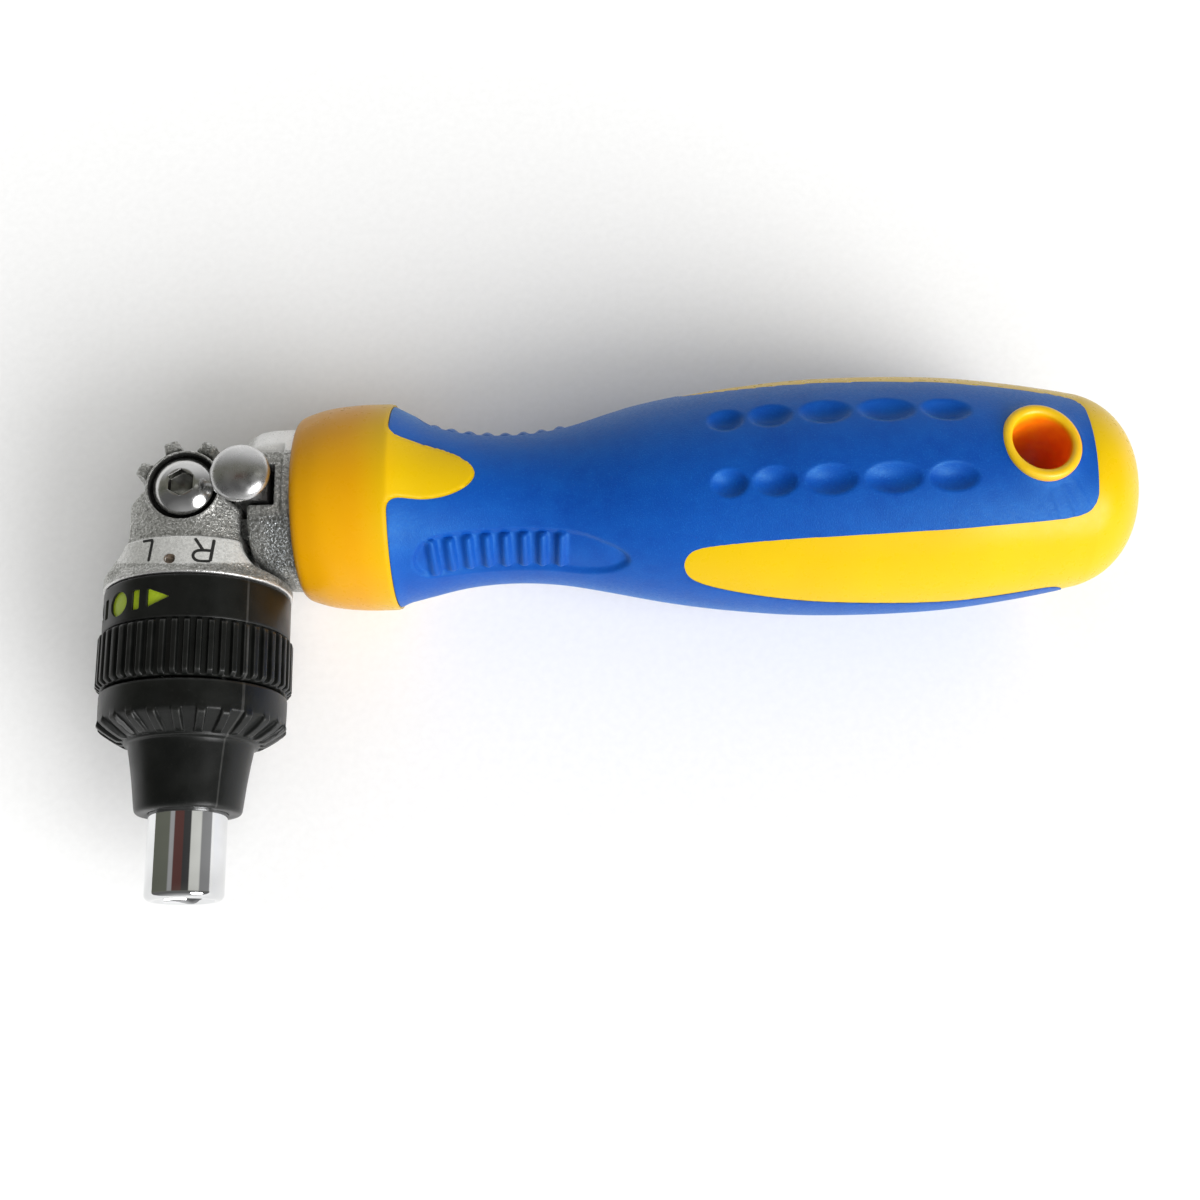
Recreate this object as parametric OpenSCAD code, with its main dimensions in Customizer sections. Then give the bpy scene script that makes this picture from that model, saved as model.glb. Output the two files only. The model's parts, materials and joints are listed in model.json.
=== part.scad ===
// Ratcheting screwdriver with a pivoting head, shown with the head at 90 degrees.
// Origin: centre of the bit socket's mouth. +X runs along the handle to its rear
// end, -Y is the way the bit leaves, +Z is the pivot bolt's axis.

/* [Handle] */
// Distance from the pivot axis to the handle's rear end
handle_end = 129.6; // [126:0.2:136]
// Radius of the handle at its belly
belly_r = 16.6; // [15.6:0.1:17.6]
// Radius of the handle at its waist
waist_r = 10.6; // [10.2:0.1:11.6]
// Radius of the front collar
collar_r = 14.5; // [14:0.1:15.2]
// Thickness of the soft grip
grip_t = 2; // [1.6:0.1:2.4]
// Angle by which the grip's pattern is turned about the handle's axis
clock = 5; // [0:1:8]
// Angle of each yellow side panel from the pattern plane
panel_angle = 65; // [62:1:68]

/* [Hanging hole] */
// Radius of the hanging hole
hang_r = 4; // [3.5:0.1:4.2]
// Distance of the hole from the pivot axis
hang_x = 113.4; // [112:0.2:115]
// Outer radius of the raised rim round the hole
hang_rim_r = 5.4; // [5.2:0.1:5.8]

/* [Head] */
// Distance from the pivot axis to the mouth of the bit socket
reach = 53.4; // [52:0.1:56]
// Radius of the flange above the selector ring
flange_r = 12.44; // [12.3:0.02:12.6]
// Radius of the hub that the selector ring turns on
hub_r = 9.6; // [9.5:0.05:9.7]
// Radius of the pivot bolt's shank
bolt_r = 2; // [1.8:0.1:2.1]
// Number of teeth on the index wheel
index_teeth = 8; // [8:8:8]

/* [Ratchet] */
// Number of teeth on the ratchet wheel
ratchet_teeth = 24; // [20:2:28]
// Tip radius of the ratchet wheel
ratchet_r = 5.6; // [5.4:0.05:5.6]
// Lift of a pawl that is held out of the wheel, in degrees
pawl_lift = 6; // [4:0.5:6]

/* [Selector ring and sleeve] */
// Radius over the knurl
knurl_r = 12.85; // [12.7:0.05:13]
// Number of ribs in the knurl
knurl_count = 51; // [45:1:54]
// Angle between the selector's positions
selector_step = 32; // [32:1:32]
// Number of ridges on the nose sleeve's bevel
ridge_count = 24; // [20:1:28]

/* [Bit socket] */
// Width across flats of the hex socket
hex_af = 6.35; // [6.3:0.05:6.45]
// Depth of the hex socket
hex_depth = 14.2; // [12:0.2:15]
// Outer radius of the bit holder
holder_r = 5.1; // [5:0.05:5.2]

/* [Lock] */
// Travel of the lock button
lock_travel = 2.6; // [2.2:0.1:2.6]
// Radius of the button's dome
button_r = 3.85; // [3.4:0.05:3.9]

/* [Hidden] */
$fn = 64;

yellow = [0.98, 0.74, 0.03];
blue = [0.10, 0.38, 0.80];
cast = [0.66, 0.66, 0.65];
steel = [0.60, 0.61, 0.63];
black = [0.06, 0.065, 0.065];
brass = [0.75, 0.60, 0.30];

// lock geometry
lock_x = 8.3;
lock_y = 0.2;
near_flat = 10.2;
// levels along the head axis, measured from the pivot
flange_s = 12.5;
chamber_s = 15.5;
chamber_r = 8.2;
bush_s = 21;
bush_end = 24.4;
hub_end = 26.2;
knurl_s = 18.6;
knurl_end = 26.3;
sleeve_s = 26.5;
sleeve_end = 42.2;
holder_s = 28.5;
pin_r0 = 6.9;
pawl_a = 30;

function pol(r, a) = [r * cos(a), r * sin(a)];

// the handle's frame: the pivot axis crosses the handle's axis
module at_pivot() translate([0, reach, 0]) children();
// the head's frame: local z runs from the pivot towards the bit, local y is +Z
module at_head() translate([0, reach, 0]) rotate([90, 0, 0]) children();
// turns the pattern plane about the handle's axis
module clocked() rotate([-clock, 0, 0]) children();
module round_x(p) rotate([0, 90, 0]) rotate_extrude($fn = 96) polygon(p);

// ---------------------------------------------------------------- handle
mid_r = belly_r - waist_r;
nose_pts = [[14.2, 11.9], [14.45, 12.5], [15.2, 13.1], [17.6, collar_r - 0.65],
  [20.4, collar_r - 0.22], [23.4, collar_r], [27.05, collar_r], [27.4, collar_r - 0.3]];
throat_pts = [for (p = [[28.8, .70], [31.6, .42], [34.4, .24], [37.2, .11], [40, .03]])
  [p[0], waist_r + (collar_r - waist_r) * p[1]]];
body_pts = [for (p = [[42.8, 0], [48.4, .06], [54, .23], [59.6, .44], [65.2, .61], [70.8, .77],
  [76.3, .88], [82, .96], [90, 1], [98.7, .98], [104.3, .92], [109.9, .81], [115.5, .67],
  [121, .52]]) [p[0], waist_r + mid_r * p[1]]];
dome_r = waist_r + mid_r * .52;
dome_pts = [for (a = [15:15:75]) [121 + (handle_end - 121) * sin(a), dome_r * cos(a)]];
skin_pts = concat(throat_pts, body_pts);

function turned(pts, off) = [for (p = pts) [p[1] - off, p[0]]];

module outer_body() round_x(concat([[0, 14.2]], turned(nose_pts, 0), turned(skin_pts, 0),
  turned(dome_pts, 0), [[0, handle_end]]));
module grip_zone(off) round_x(concat([[0, 27.4]], [[collar_r - 0.35 - off, 27.4]],
  turned(skin_pts, off), [[0, 121]]));

// outline of a side panel, seen square on
module panel_outline() polygon([[66.5, 0], [67, 1.7], [68.8, 3.2], [73, 4.3], [80, 5.3], [88, 6.2],
  [98, 6.7], [108, 6.5], [115, 6.2], [122, 5.8], [122, -5.8], [115, -6.2], [108, -6.5], [98, -6.7],
  [88, -6.2], [80, -5.3], [73, -4.3], [68.8, -3.2], [67, -1.7]]);
// outline of the flame-shaped tongue behind the collar
module flame_outline() polygon([[27, -4.9], [29.5, -4.4], [32, -4.05], [35, -3.3], [37, -2.2], [38.2, -1.1],
  [38.7, 0], [38.2, 1.1], [37, 2.2], [35, 3.3], [32, 4.05], [29.5, 4.4], [27, 4.9]]);
module windows() clocked() {
  for (a = [-panel_angle, panel_angle]) rotate([a, 0, 0])
    translate([0, 0, 5]) linear_extrude(15) panel_outline();
  for (a = [0, 180]) rotate([a, 0, 0])
    translate([0, 0, 4]) linear_extrude(14) flame_outline();
}
module hang_cut(r) clocked() translate([hang_x, 0, 0]) cylinder(r = r, h = 50, center = true);

module handle_core() color(yellow) at_pivot() difference() {
  union() {
    // front collar
    round_x(concat([[0, 14.2]], turned(nose_pts, 0), [[0, 27.4]]));
    // body under the soft grip
    grip_zone(grip_t);
    // rear dome
    round_x(concat([[0, 120.5]], [[dome_r + 0.04, 120.5], [dome_r, 121]], turned(dome_pts, 0), [[0, handle_end]]));
    // panels and tongues that stand flush with the grip
    intersection() { grip_zone(0); windows(); }
    // rims of the hanging hole
    clocked() translate([hang_x, 0, 0]) rotate_extrude() polygon([[0, -15.4], [4.9, -15.4],
      [hang_rim_r, -14.9], [hang_rim_r, 14.9], [4.9, 15.4], [0, 15.4]]);
  }
  hang_cut(hang_r);
  // pocket for the neck and its shank
  translate([13, 0, 0]) rotate([0, 90, 0]) cylinder(r = 11.3, h = 6);
  translate([18, 0, 0]) rotate([0, 90, 0]) cylinder(r = 5.5, h = 37);
  for (a = [0:90:270]) rotate([a, 0, 0]) translate([18.5, -1, 0]) cube([31.5, 2, 7.5]);
}

module grip_sleeve() color(blue) at_pivot() difference() {
  grip_zone(0);
  grip_zone_inner();
  windows();
  translate([120.5, -20, -20]) cube([10, 40, 40]);
  hang_cut(hang_rim_r);
  // dimples, in two rows front and back
  clocked() for (side = [0, 180]) rotate([side, 0, 0])
    for (row = [-1, 1]) for (p = [[72, .79], [78, .908], [85.1, .975], [93.3, 1], [101, .967]])
      rotate([row * 17.5, 0, 0]) translate([p[0], 0, waist_r + mid_r * p[1] + 4.4]) sphere(r = 5, $fn = 40);
}
module grip_zone_inner() round_x(concat([[0, 27]], [[collar_r - 0.35 - grip_t, 27]],
  [[collar_r - 0.35 - grip_t, 27.4]], turned(skin_pts, grip_t), [[dome_r - grip_t, 122], [0, 122]]));

module neck_yoke() color(cast) at_pivot() difference() {
  union() {
    intersection() {
      // round neck with a full shoulder
      round_x([[0, 6.2], [7.4, 6.2], [8.8, 6.5], [10, 7.2], [10.9, 8.4], [11.25, 10.2],
        [11.3, 12.4], [11.3, 19], [0, 19]]);
      union() {
        translate([0, -15, -near_flat]) cube([13, 30, 2 * near_flat]);
        translate([12.9, -15, -15]) cube([8, 30, 30]);
      }
    }
    // tongue between the fork's lugs
    cylinder(r = 5.8, h = 9.8, center = true);
    translate([0, -5.8, -4.9]) cube([9, 11.6, 9.8]);
    // shank with four fins
    translate([18, 0, 0]) rotate([0, 90, 0]) cylinder(r = 5.5, h = 36);
    for (a = [0:90:270]) rotate([a, 0, 0]) translate([18.5, -1, 0]) cube([31, 2, 7.5]);
  }
  // room for the lugs and the index wheel, near and far
  for (z = [4.9, -15]) translate([0, 0, z]) {
    cylinder(r = 7.3, h = 10.1);
    translate([-1, -9, 0]) cube([9.3, 13.4, 10.1]);
  }
  // room for the head's flare at 90 degrees
  translate([0, 0, -16]) linear_extrude(32) polygon([[0, -5.75], [7.9, -5.75], [8, -7.2],
    [8.3, -8.3], [8.9, -9.2], [9.9, -9.95], [11.2, -10.5], [12.4, -10.85], [13.1, -11], [13.1, -14], [0, -14]]);
  // pivot hole
  cylinder(r = bolt_r + 0.08, h = 30, center = true);
  // slot for the lock block, with the spring pocket, stem hole and clip recess
  translate([6.6, lock_y - 2.9, 1.8]) cube([5.3, 5.8, 12]);
  translate([lock_x, lock_y, -3.5]) cylinder(r = 1.95, h = 8);
  translate([lock_x, lock_y, -12]) cylinder(r = 1.06, h = 12);
  translate([lock_x, lock_y, -12]) cylinder(r = 2.6, h = 6.4);
}

// a coil spring as a swept tube: r mean radius, w wire radius, h height, n turns
module coil(r, w, h, n, sides = 6, per = 14) {
  k = n * per;
  pts = [for (i = [0:k]) for (j = [0:sides - 1]) let (a = 360 * i / per, b = 360 * j / sides)
    [(r + w * cos(b)) * cos(a), (r + w * cos(b)) * sin(a), w + (h - 2 * w) * i / k + w * sin(b)]];
  faces = concat([[for (j = [0:sides - 1]) j]],
    [for (i = [0:k - 1]) for (j = [0:sides - 1]) let (m = (j + 1) % sides)
      each [[i * sides + j, (i + 1) * sides + j, (i + 1) * sides + m], [i * sides + j, (i + 1) * sides + m, i * sides + m]]],
    [[for (j = [sides - 1:-1:0]) k * sides + j]]);
  polyhedron(points = pts, faces = faces, convexity = 6);
}

module lock_spring() color(steel) at_pivot() translate([lock_x, lock_y, -3.45])
  coil(1.5, 0.3, 7.95, 6);

// ------------------------------------------------------------------ lock
module lock_button() color(steel) at_pivot() translate([lock_x, lock_y, 0]) rotate_extrude()
  polygon(concat([[0, -6.9], [0.9, -6.9], [0.9, -6.2], [0.68, -6.2], [0.68, -5.65], [0.9, -5.65],
    [0.9, 10.9], [1.9, 10.9], [1.9, 13.6], [button_r - 0.5, 13.8], [button_r, 14.1]],
    [for (a = [10:10:80]) [button_r * cos(a), 14.1 + 2 * sin(a)]], [[0, 16.1]]));

module lock_block() color(steel) at_pivot() difference() {
  union() {
    translate([7.3, lock_y - 2.55, 4.55]) cube([3.9, 5.1, 6.35]);
    // nose that stands in the gap between two teeth
    translate([0, 0, 5.45]) linear_extrude(2.45) polygon([[7.1, -1.1], [7.4, -1.3], [7.4, 1.3], [7.1, 1.1]]);
  }
  translate([lock_x, lock_y, 0]) cylinder(r = 0.9, h = 12);
}

module lock_clip() color(steel) at_pivot() translate([lock_x, lock_y, -6.18]) difference() {
  cylinder(r = 2.2, h = 0.5);
  translate([0, 0, -1]) cylinder(r = 0.68, h = 3);
  translate([-0.6, 0, -1]) cube([1.2, 4, 3]);
}

// ------------------------------------------------------------------ head
module head_housing() color(cast) at_head() difference() {
  union() {
    intersection() {
      // front outline of the fork and its flare
      rotate([90, 0, 0]) linear_extrude(26, center = true) polygon([[-4.6, 0.1], [-5.6, 0.25], [-7.3, 1.75], [-7.45, 2.3],
        [-7.4, 6.4], [-7.55, 7.2], [-7.9, 7.9], [-8.5, 8.5], [-9.3, 8.95], [-10.4, 9.2], [-11.7, 9.45], [-12.6, 9.9],
        [-14, 10.6], [-14, 13], [14, 13], [14, 11.5], [12.3, 11.2], [10.6, 10.95], [9.4, 10.55], [8.5, 9.8], [7.85, 8.85],
        [7.4, 7.8], [7.2, 6.6], [7.15, 2.8], [6.9, 2.5], [4.6, 1.1]]);
      // turned outside, with the step of the marked band
      rotate_extrude($fn = 96) polygon([[0, 0.1], [11.3, 0.1], [11.3, 7.3], [11.7, 7.4], [11.85, 9.3],
        [12.1, 9.9], [flange_r, 10.6], [flange_r, flange_s], [0, flange_s]]);
    }
    // the two lugs' bosses
    translate([0, 11, 0]) rotate([90, 0, 0]) cylinder(r = 5.1, h = 22);
    // hub inside the selector ring
    translate([0, 0, 11.4]) cylinder(r = hub_r, h = hub_end - 11.4);
  }
  // fork slot: the tongue's width, then the index wheel beside it
  translate([-15, -5.4, -12]) cube([30, 13.4, 18.1]);
  translate([0, 8, 0]) rotate([90, 0, 0]) cylinder(r = 7, h = 2.6);
  // counterbore, bolt hole and nut recess
  translate([0, 12, 0]) rotate([90, 0, 0]) cylinder(r = 4.7, h = 2.1);
  rotate([90, 0, 0]) cylinder(r = bolt_r, h = 40, center = true);
  translate([0, -7.9, 0]) rotate([90, 0, 0]) cylinder(r = 7.04 / sqrt(3), h = 5, $fn = 6);
  // holes of the marked band: the index dot and the two letters
  translate([-0.95, 12.6, 10.1]) rotate([90, 0, 0]) cylinder(r = 0.6, h = 1.4);
  // tail bearing, ratchet chamber and bush seat
  translate([0, 0, 9]) cylinder(r = 3.06, h = 12);
  translate([0, 0, chamber_s]) cylinder(r = chamber_r, h = 20);
  translate([0, 0, bush_end]) cylinder(r = 8.7, h = 0.62);
  // groove of the selector's retaining ring
  translate([0, 0, 25.4]) difference() { cylinder(r = 11, h = 0.62); translate([0, 0, -1]) cylinder(r = 9.1, h = 3); }
  // windows for the pawls' tails
  for (a = [pawl_a - 14, 180 - pawl_a + 14]) rotate([0, 0, a])
    translate([7, -2, chamber_s + 0.3]) cube([4, 4, 5]);
  // pockets of the pawl pins
  for (a = [pawl_a, 180 - pawl_a]) translate([pin_r0 * cos(a), pin_r0 * sin(a), 13.6]) cylinder(r = 0.7, h = 4);
  // pocket of the detent
  rotate([0, 0, 300]) translate([4.4, 0, 14]) rotate([0, 90, 0]) cylinder(r = 1, h = 8);
}
module at_wheel() at_pivot() translate([0, 0, 5.4]) children();

module wheel_outline() polygon([for (i = [0:index_teeth - 1]) let (c = 19 + 45 * i)
  each [pol(5.35, c - 13), pol(6.9, c - 6.5), pol(6.9, c + 6.5), pol(5.35, c + 13)]]);
module index_wheel() color(cast) at_wheel() difference() {
  union() {
    linear_extrude(2.6) wheel_outline();
    // the teeth beside the near boss stand almost as high as its rim
    linear_extrude(4.7) intersection() {
      difference() { wheel_outline(); circle(r = 5.5); }
      translate([-8, 0.8]) square([16, 8]);
    }
  }
  translate([0, 0, -1]) cylinder(r = bolt_r, h = 5);
}

module pivot_bolt() color(steel) at_pivot() difference() {
  rotate_extrude() polygon([[0, -10.8], [1.6, -10.8], [bolt_r, -10.4], [bolt_r, 9.9], [3.85, 9.9], [3.85, 10.4],
    [3.7, 11], [3.35, 11.55], [2.8, 12.05], [2.25, 12.35], [0, 12.35]]);
  translate([0, 0, 10.7]) rotate([0, 0, 0]) cylinder(r = 3.1 / sqrt(3), h = 3, $fn = 6);
}
module pivot_nut() color(steel) at_pivot() translate([0, 0, -10.9]) difference() {
  rotate([0, 0, 0]) cylinder(r = 7 / sqrt(3), h = 3, $fn = 6);
  translate([0, 0, -1]) cylinder(r = bolt_r, h = 6);
}
module pivot_washers() color(steel) at_pivot() for (z = [4.98, -5.4]) translate([0, 0, z]) difference() {
  cylinder(r = 4.6, h = 0.42);
  translate([0, 0, -1]) cylinder(r = bolt_r + 0.05, h = 3);
}

module spindle_bush() color(brass) at_head() difference() {
  translate([0, 0, bush_s]) cylinder(r = chamber_r, h = bush_end - bush_s);
  cylinder(r = 4.27, h = 40);
  for (a = [pawl_a, 180 - pawl_a]) translate([pin_r0 * cos(a), pin_r0 * sin(a), 20]) cylinder(r = 0.7, h = 3);
}
module open_ring(ri, ro, t, gap) difference() {
  cylinder(r = ro, h = t);
  translate([0, 0, -1]) cylinder(r = ri, h = t + 2);
  translate([0, -gap / 2, -1]) cube([ro + 2, gap, t + 2]);
}
module bush_circlip() color(steel) at_head() translate([0, 0, bush_end]) open_ring(7.3, 8.7, 0.6, 3);
module selector_retainer() color(steel) at_head() translate([0, 0, 25.41]) open_ring(9.1, 10.5, 0.6, 3);
module detent_ball() color(steel) at_head() rotate([0, 0, 300]) translate([8.66, 0, 14]) sphere(r = 0.95);
module detent_spring() color(steel) at_head() rotate([0, 0, 300]) translate([4.45, 0, 14]) rotate([0, 90, 0])
  coil(0.68, 0.16, 3.2, 5, 5, 12);
module pawl_pins() color(steel) at_head() for (a = [pawl_a, 180 - pawl_a])
  translate([pin_r0 * cos(a), pin_r0 * sin(a), 13.65]) cylinder(r = 0.7, h = 9.3);
// a leaf spring against the chamber's wall, over each pawl's nose
module pawl_springs() color(steel) at_head() for (m = [0, 1]) mirror([m, 0, 0])
  translate([0, 0, 17]) rotate([0, 0, pawl_a + 24]) rotate_extrude(angle = 34) translate([7.96, 0]) square([0.22, 2.4]);
module thrust_washer() color(brass) at_head() translate([0, 0, 20.58]) difference() {
  cylinder(r = 5.9, h = 0.42);
  translate([0, 0, -1]) cylinder(r = 4.3, h = 3);
}

// -------------------------------------------------------------- selector
// the cam's radius falls as the ring turns, and pushes a pawl's tail inwards
module cam(a0, r0, r1) translate([0, 0, 15.7]) linear_extrude(5.2) polygon(concat([[0, 0]],
  [for (i = [0:10]) pol((r0 + (r1 - r0) * i / 10) / cos(4.5), a0 + i * 9)]));

module mark_cut(a) rotate([0, 0, a]) translate([12.05, 0, 15.55]) rotate([0, 90, 0]) children();

module selector_ring() color(black) at_head() difference() {
  union() {
    rotate_extrude($fn = 96) polygon([[9, 12.62], [12.2, 12.62], [12.4, 12.8], [12.42, 18.8], [12.2, 18.8],
      [12.2, 26.2], [9, 26.2]]);
    translate([0, 0, knurl_s]) linear_extrude(knurl_end - knurl_s) difference() {
      polygon([for (i = [0:knurl_count - 1]) let (c = 360 * i / knurl_count, p = 360 / knurl_count)
        each [pol(knurl_r, c - p * .2), pol(knurl_r, c + p * .2), pol(12.3, c + p * .32), pol(12.3, c + p * .68)]]);
      circle(r = 10);
    }
  }
  // running bore, and the recess for the retaining ring
  cylinder(r = hub_r + 0.08, h = 40);
  translate([0, 0, 25.25]) cylinder(r = 10.8, h = 5);
  cam(pawl_a - 24, 10.22, 9.98);
  cam(180 - pawl_a - 4, 9.98, 10.22);
  // three detent notches
  for (i = [0:2]) rotate([0, 0, 300 + i * selector_step]) translate([9.05, 0, 13]) cylinder(r = 1, h = 2);
  // marks: circle, bars and arrows
  mark_cut(130.4) cylinder(r = 1.7, h = 2);
  for (a = [145.6, 115]) mark_cut(a) translate([-1.35, -0.6, 0]) cube([2.7, 1.2, 2]);
  mark_cut(106.5) linear_extrude(2) polygon([[-1.2, 0], [1.2, 0], [0, -2.9]]);
  mark_cut(154) linear_extrude(2) polygon([[-1.2, 0], [1.2, 0], [0, 2.9]]);
}

// ----------------------------------------------------------------- pawls
// pawl with its pin at angle 0, its nose at 35 degrees and its tail at -14
module pawl_shape() linear_extrude(4.4) difference() {
  union() {
    translate([pin_r0, 0]) circle(r = 1.14);
    polygon([pol(7.4, 0), pol(7.95, 6), pol(7.75, 14), pol(7.5, 26), pol(7.2, 36), pol(5.76, 35.5),
      pol(5.86, 32), pol(6.35, 28), pol(6.2, 14), pol(6.3, 3), pol(6.45, -4), pol(7.9, -14.5),
      pol(9.92, -15.5), pol(9.92, -12.5), pol(8.2, -10)]);
  }
  translate([pin_r0, 0]) circle(r = 0.75);
}
module about_pin(a) translate([pin_r0, 0, 0]) rotate([0, 0, a]) translate([-pin_r0, 0, 0]) children();
module pawl_forward() color(steel) at_head() translate([0, 0, 16]) rotate([0, 0, pawl_a]) pawl_shape();
module pawl_reverse() color(steel) at_head() translate([0, 0, 16]) mirror([1, 0, 0]) rotate([0, 0, pawl_a])
  about_pin(-pawl_lift) pawl_shape();

// --------------------------------------------------------------- spindle
module ratchet_wheel() color(steel) at_head() translate([0, 0, 16]) difference() {
  linear_extrude(4.5) polygon([for (i = [0:ratchet_teeth - 1]) let (c = 360 * i / ratchet_teeth, p = 360 / ratchet_teeth)
    each [pol(ratchet_r, c - p * .1), pol(ratchet_r, c + p * .1), pol(ratchet_r - 0.75, c + p * .5)]]);
  translate([0, 0, -1]) cylinder(r = 6 / sqrt(3), h = 7, $fn = 6);
}
module drive_shaft() color(steel) at_head() union() {
  translate([0, 0, 9.7]) cylinder(r = 3, h = 6.3);
  difference() {
    translate([0, 0, 15.6]) cylinder(r = 6 / sqrt(3), h = 5.2, $fn = 6);
    translate([0, 0, 15.6]) difference() { cylinder(r = 5, h = 0.4); translate([0, 0, -1]) cylinder(r = 2.6, h = 3); }
  }
  translate([0, 0, 20.5]) cylinder(r = 4.2, h = 8);
  translate([0, 0, 28]) cylinder(r = 3.2, h = 7);
}
module shaft_clip() color(steel) at_head() translate([0, 0, 15.6]) open_ring(3, 4.3, 0.38, 2);

module bit_holder() color([0.82, 0.83, 0.85]) at_head() difference() {
  rotate_extrude() polygon([[0, holder_s], [holder_r, holder_s], [holder_r, reach - 0.9], [holder_r - 0.35, reach - 0.25],
    [holder_r - 0.9, reach], [0, reach]]);
  // seat of the drive shaft, magnet pocket and hex socket
  cylinder(r = 3.2, h = 35);
  translate([0, 0, reach - hex_depth - 2.5]) cylinder(r = 2.6, h = 4);
  translate([0, 0, reach - hex_depth]) cylinder(r = hex_af / sqrt(3), h = hex_depth + 1, $fn = 6);
  // lead-in and the bit ring's groove
  translate([0, 0, reach - 0.8]) cylinder(r1 = 3.0, r2 = 4.0, h = 0.9);
  translate([0, 0, reach - 5]) cylinder(r = 4.15, h = 0.75);
}
module bit_magnet() color([0.35, 0.35, 0.37]) at_head() translate([0, 0, reach - hex_depth - 2.5]) cylinder(r = 2.6, h = 2.3);
module bit_ring() color(steel) at_head() translate([0, 0, reach - 4.63]) rotate([0, 0, 15])
  rotate_extrude(angle = 320) translate([3.78, 0]) circle(r = 0.34, $fn = 20);

module nose_sleeve() color(black) at_head() difference() {
  union() {
    rotate_extrude($fn = 96) polygon([[0, sleeve_s], [12.15, sleeve_s], [12.3, 26.8], [12.25, 30.2], [12.05, 30.6], [9.0, 32.65], [8.8, 32.85],
      [8.75, 33.1], [8.2, 33.25], [7.68, 36.4], [7.27, 39.3], [7.02, 41.7], [6.87, 42.05], [6.6, sleeve_end], [0, sleeve_end]]);
    // ridges on the bevel
    for (i = [0:ridge_count - 1]) rotate([0, 0, i * 360 / ridge_count + 10.5]) translate([12.05, 0, 30.6])
      rotate([0, -56, 0]) translate([-1, -0.6, -0.1]) cube([1.35, 1.2, 3.75]);
  }
  translate([0, 0, sleeve_s - 1]) cylinder(r = 11.2, h = 3.2);
  cylinder(r = 5.6, h = 31);
  cylinder(r = holder_r, h = 50);
}

handle_core();
grip_sleeve();
neck_yoke();
lock_spring();
lock_button();
lock_block();
lock_clip();
head_housing();
index_wheel();
pivot_bolt();
pivot_nut();
pivot_washers();
spindle_bush();
bush_circlip();
selector_retainer();
detent_ball();
detent_spring();
pawl_pins();
pawl_springs();
thrust_washer();
selector_ring();
pawl_forward();
pawl_reverse();
ratchet_wheel();
drive_shaft();
bit_holder();
bit_magnet();
bit_ring();
nose_sleeve();
shaft_clip();
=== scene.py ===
import bpy, json, math
import numpy as np
from mathutils import Matrix, Vector


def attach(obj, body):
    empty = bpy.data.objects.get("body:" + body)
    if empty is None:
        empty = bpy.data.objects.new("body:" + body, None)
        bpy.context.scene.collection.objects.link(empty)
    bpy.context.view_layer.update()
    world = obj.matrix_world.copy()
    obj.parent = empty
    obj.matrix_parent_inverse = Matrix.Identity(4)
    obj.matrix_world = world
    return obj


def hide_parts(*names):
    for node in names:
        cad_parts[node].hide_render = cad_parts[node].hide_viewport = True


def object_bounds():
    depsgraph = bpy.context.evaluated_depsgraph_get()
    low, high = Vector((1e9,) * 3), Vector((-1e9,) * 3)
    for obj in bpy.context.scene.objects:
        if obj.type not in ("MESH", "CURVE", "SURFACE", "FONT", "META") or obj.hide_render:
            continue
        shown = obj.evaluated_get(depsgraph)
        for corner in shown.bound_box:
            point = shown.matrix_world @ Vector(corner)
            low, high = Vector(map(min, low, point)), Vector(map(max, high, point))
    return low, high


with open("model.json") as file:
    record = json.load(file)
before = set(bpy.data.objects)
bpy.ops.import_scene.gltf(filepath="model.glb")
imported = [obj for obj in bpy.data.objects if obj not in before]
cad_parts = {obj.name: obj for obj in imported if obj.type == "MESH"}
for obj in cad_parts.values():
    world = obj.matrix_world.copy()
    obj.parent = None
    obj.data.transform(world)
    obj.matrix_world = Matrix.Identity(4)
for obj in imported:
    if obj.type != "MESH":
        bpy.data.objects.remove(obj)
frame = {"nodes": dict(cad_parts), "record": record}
CAD_LO, CAD_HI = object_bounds()
NODES = frame["nodes"]
MM = 0.001
PY = 53.4            # the pivot axis and the handle's axis, row y in mm
CLOCK = 5.0          # turn of the grip's pattern about the handle's axis, degrees
scene = bpy.context.scene


# ------------------------------------------------------------------ numbers
def spline(xs, ys, q):
    """Natural cubic spline."""
    xs, ys, q = np.asarray(xs, float), np.asarray(ys, float), np.asarray(q, float)
    n = len(xs)
    h = np.diff(xs)
    a = np.zeros((n, n)); b = np.zeros(n)
    a[0, 0] = a[-1, -1] = 1
    for i in range(1, n - 1):
        a[i, i - 1], a[i, i], a[i, i + 1] = h[i - 1], 2 * (h[i - 1] + h[i]), h[i]
        b[i] = 3 * ((ys[i + 1] - ys[i]) / h[i] - (ys[i] - ys[i - 1]) / h[i - 1])
    c = np.linalg.solve(a, b)
    i = np.clip(np.searchsorted(xs, q) - 1, 0, n - 2)
    t = q - xs[i]
    d = (c[i + 1] - c[i]) / (3 * h[i])
    m = (ys[i + 1] - ys[i]) / h[i] - h[i] * (2 * c[i] + c[i + 1]) / 3
    return ys[i] + m * t + c[i] * t**2 + d * t**3


def curve2(pts, step):
    """Smooth open curve through points, sampled about every step."""
    p = np.asarray(pts, float)
    t = np.concatenate([[0], np.cumsum(np.hypot(*np.diff(p, axis=0).T))])
    n = max(3, int(t[-1] / step) + 1)
    q = np.linspace(0, t[-1], n)
    return np.stack([spline(t, p[:, 0], q), spline(t, p[:, 1], q)], 1)


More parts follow.
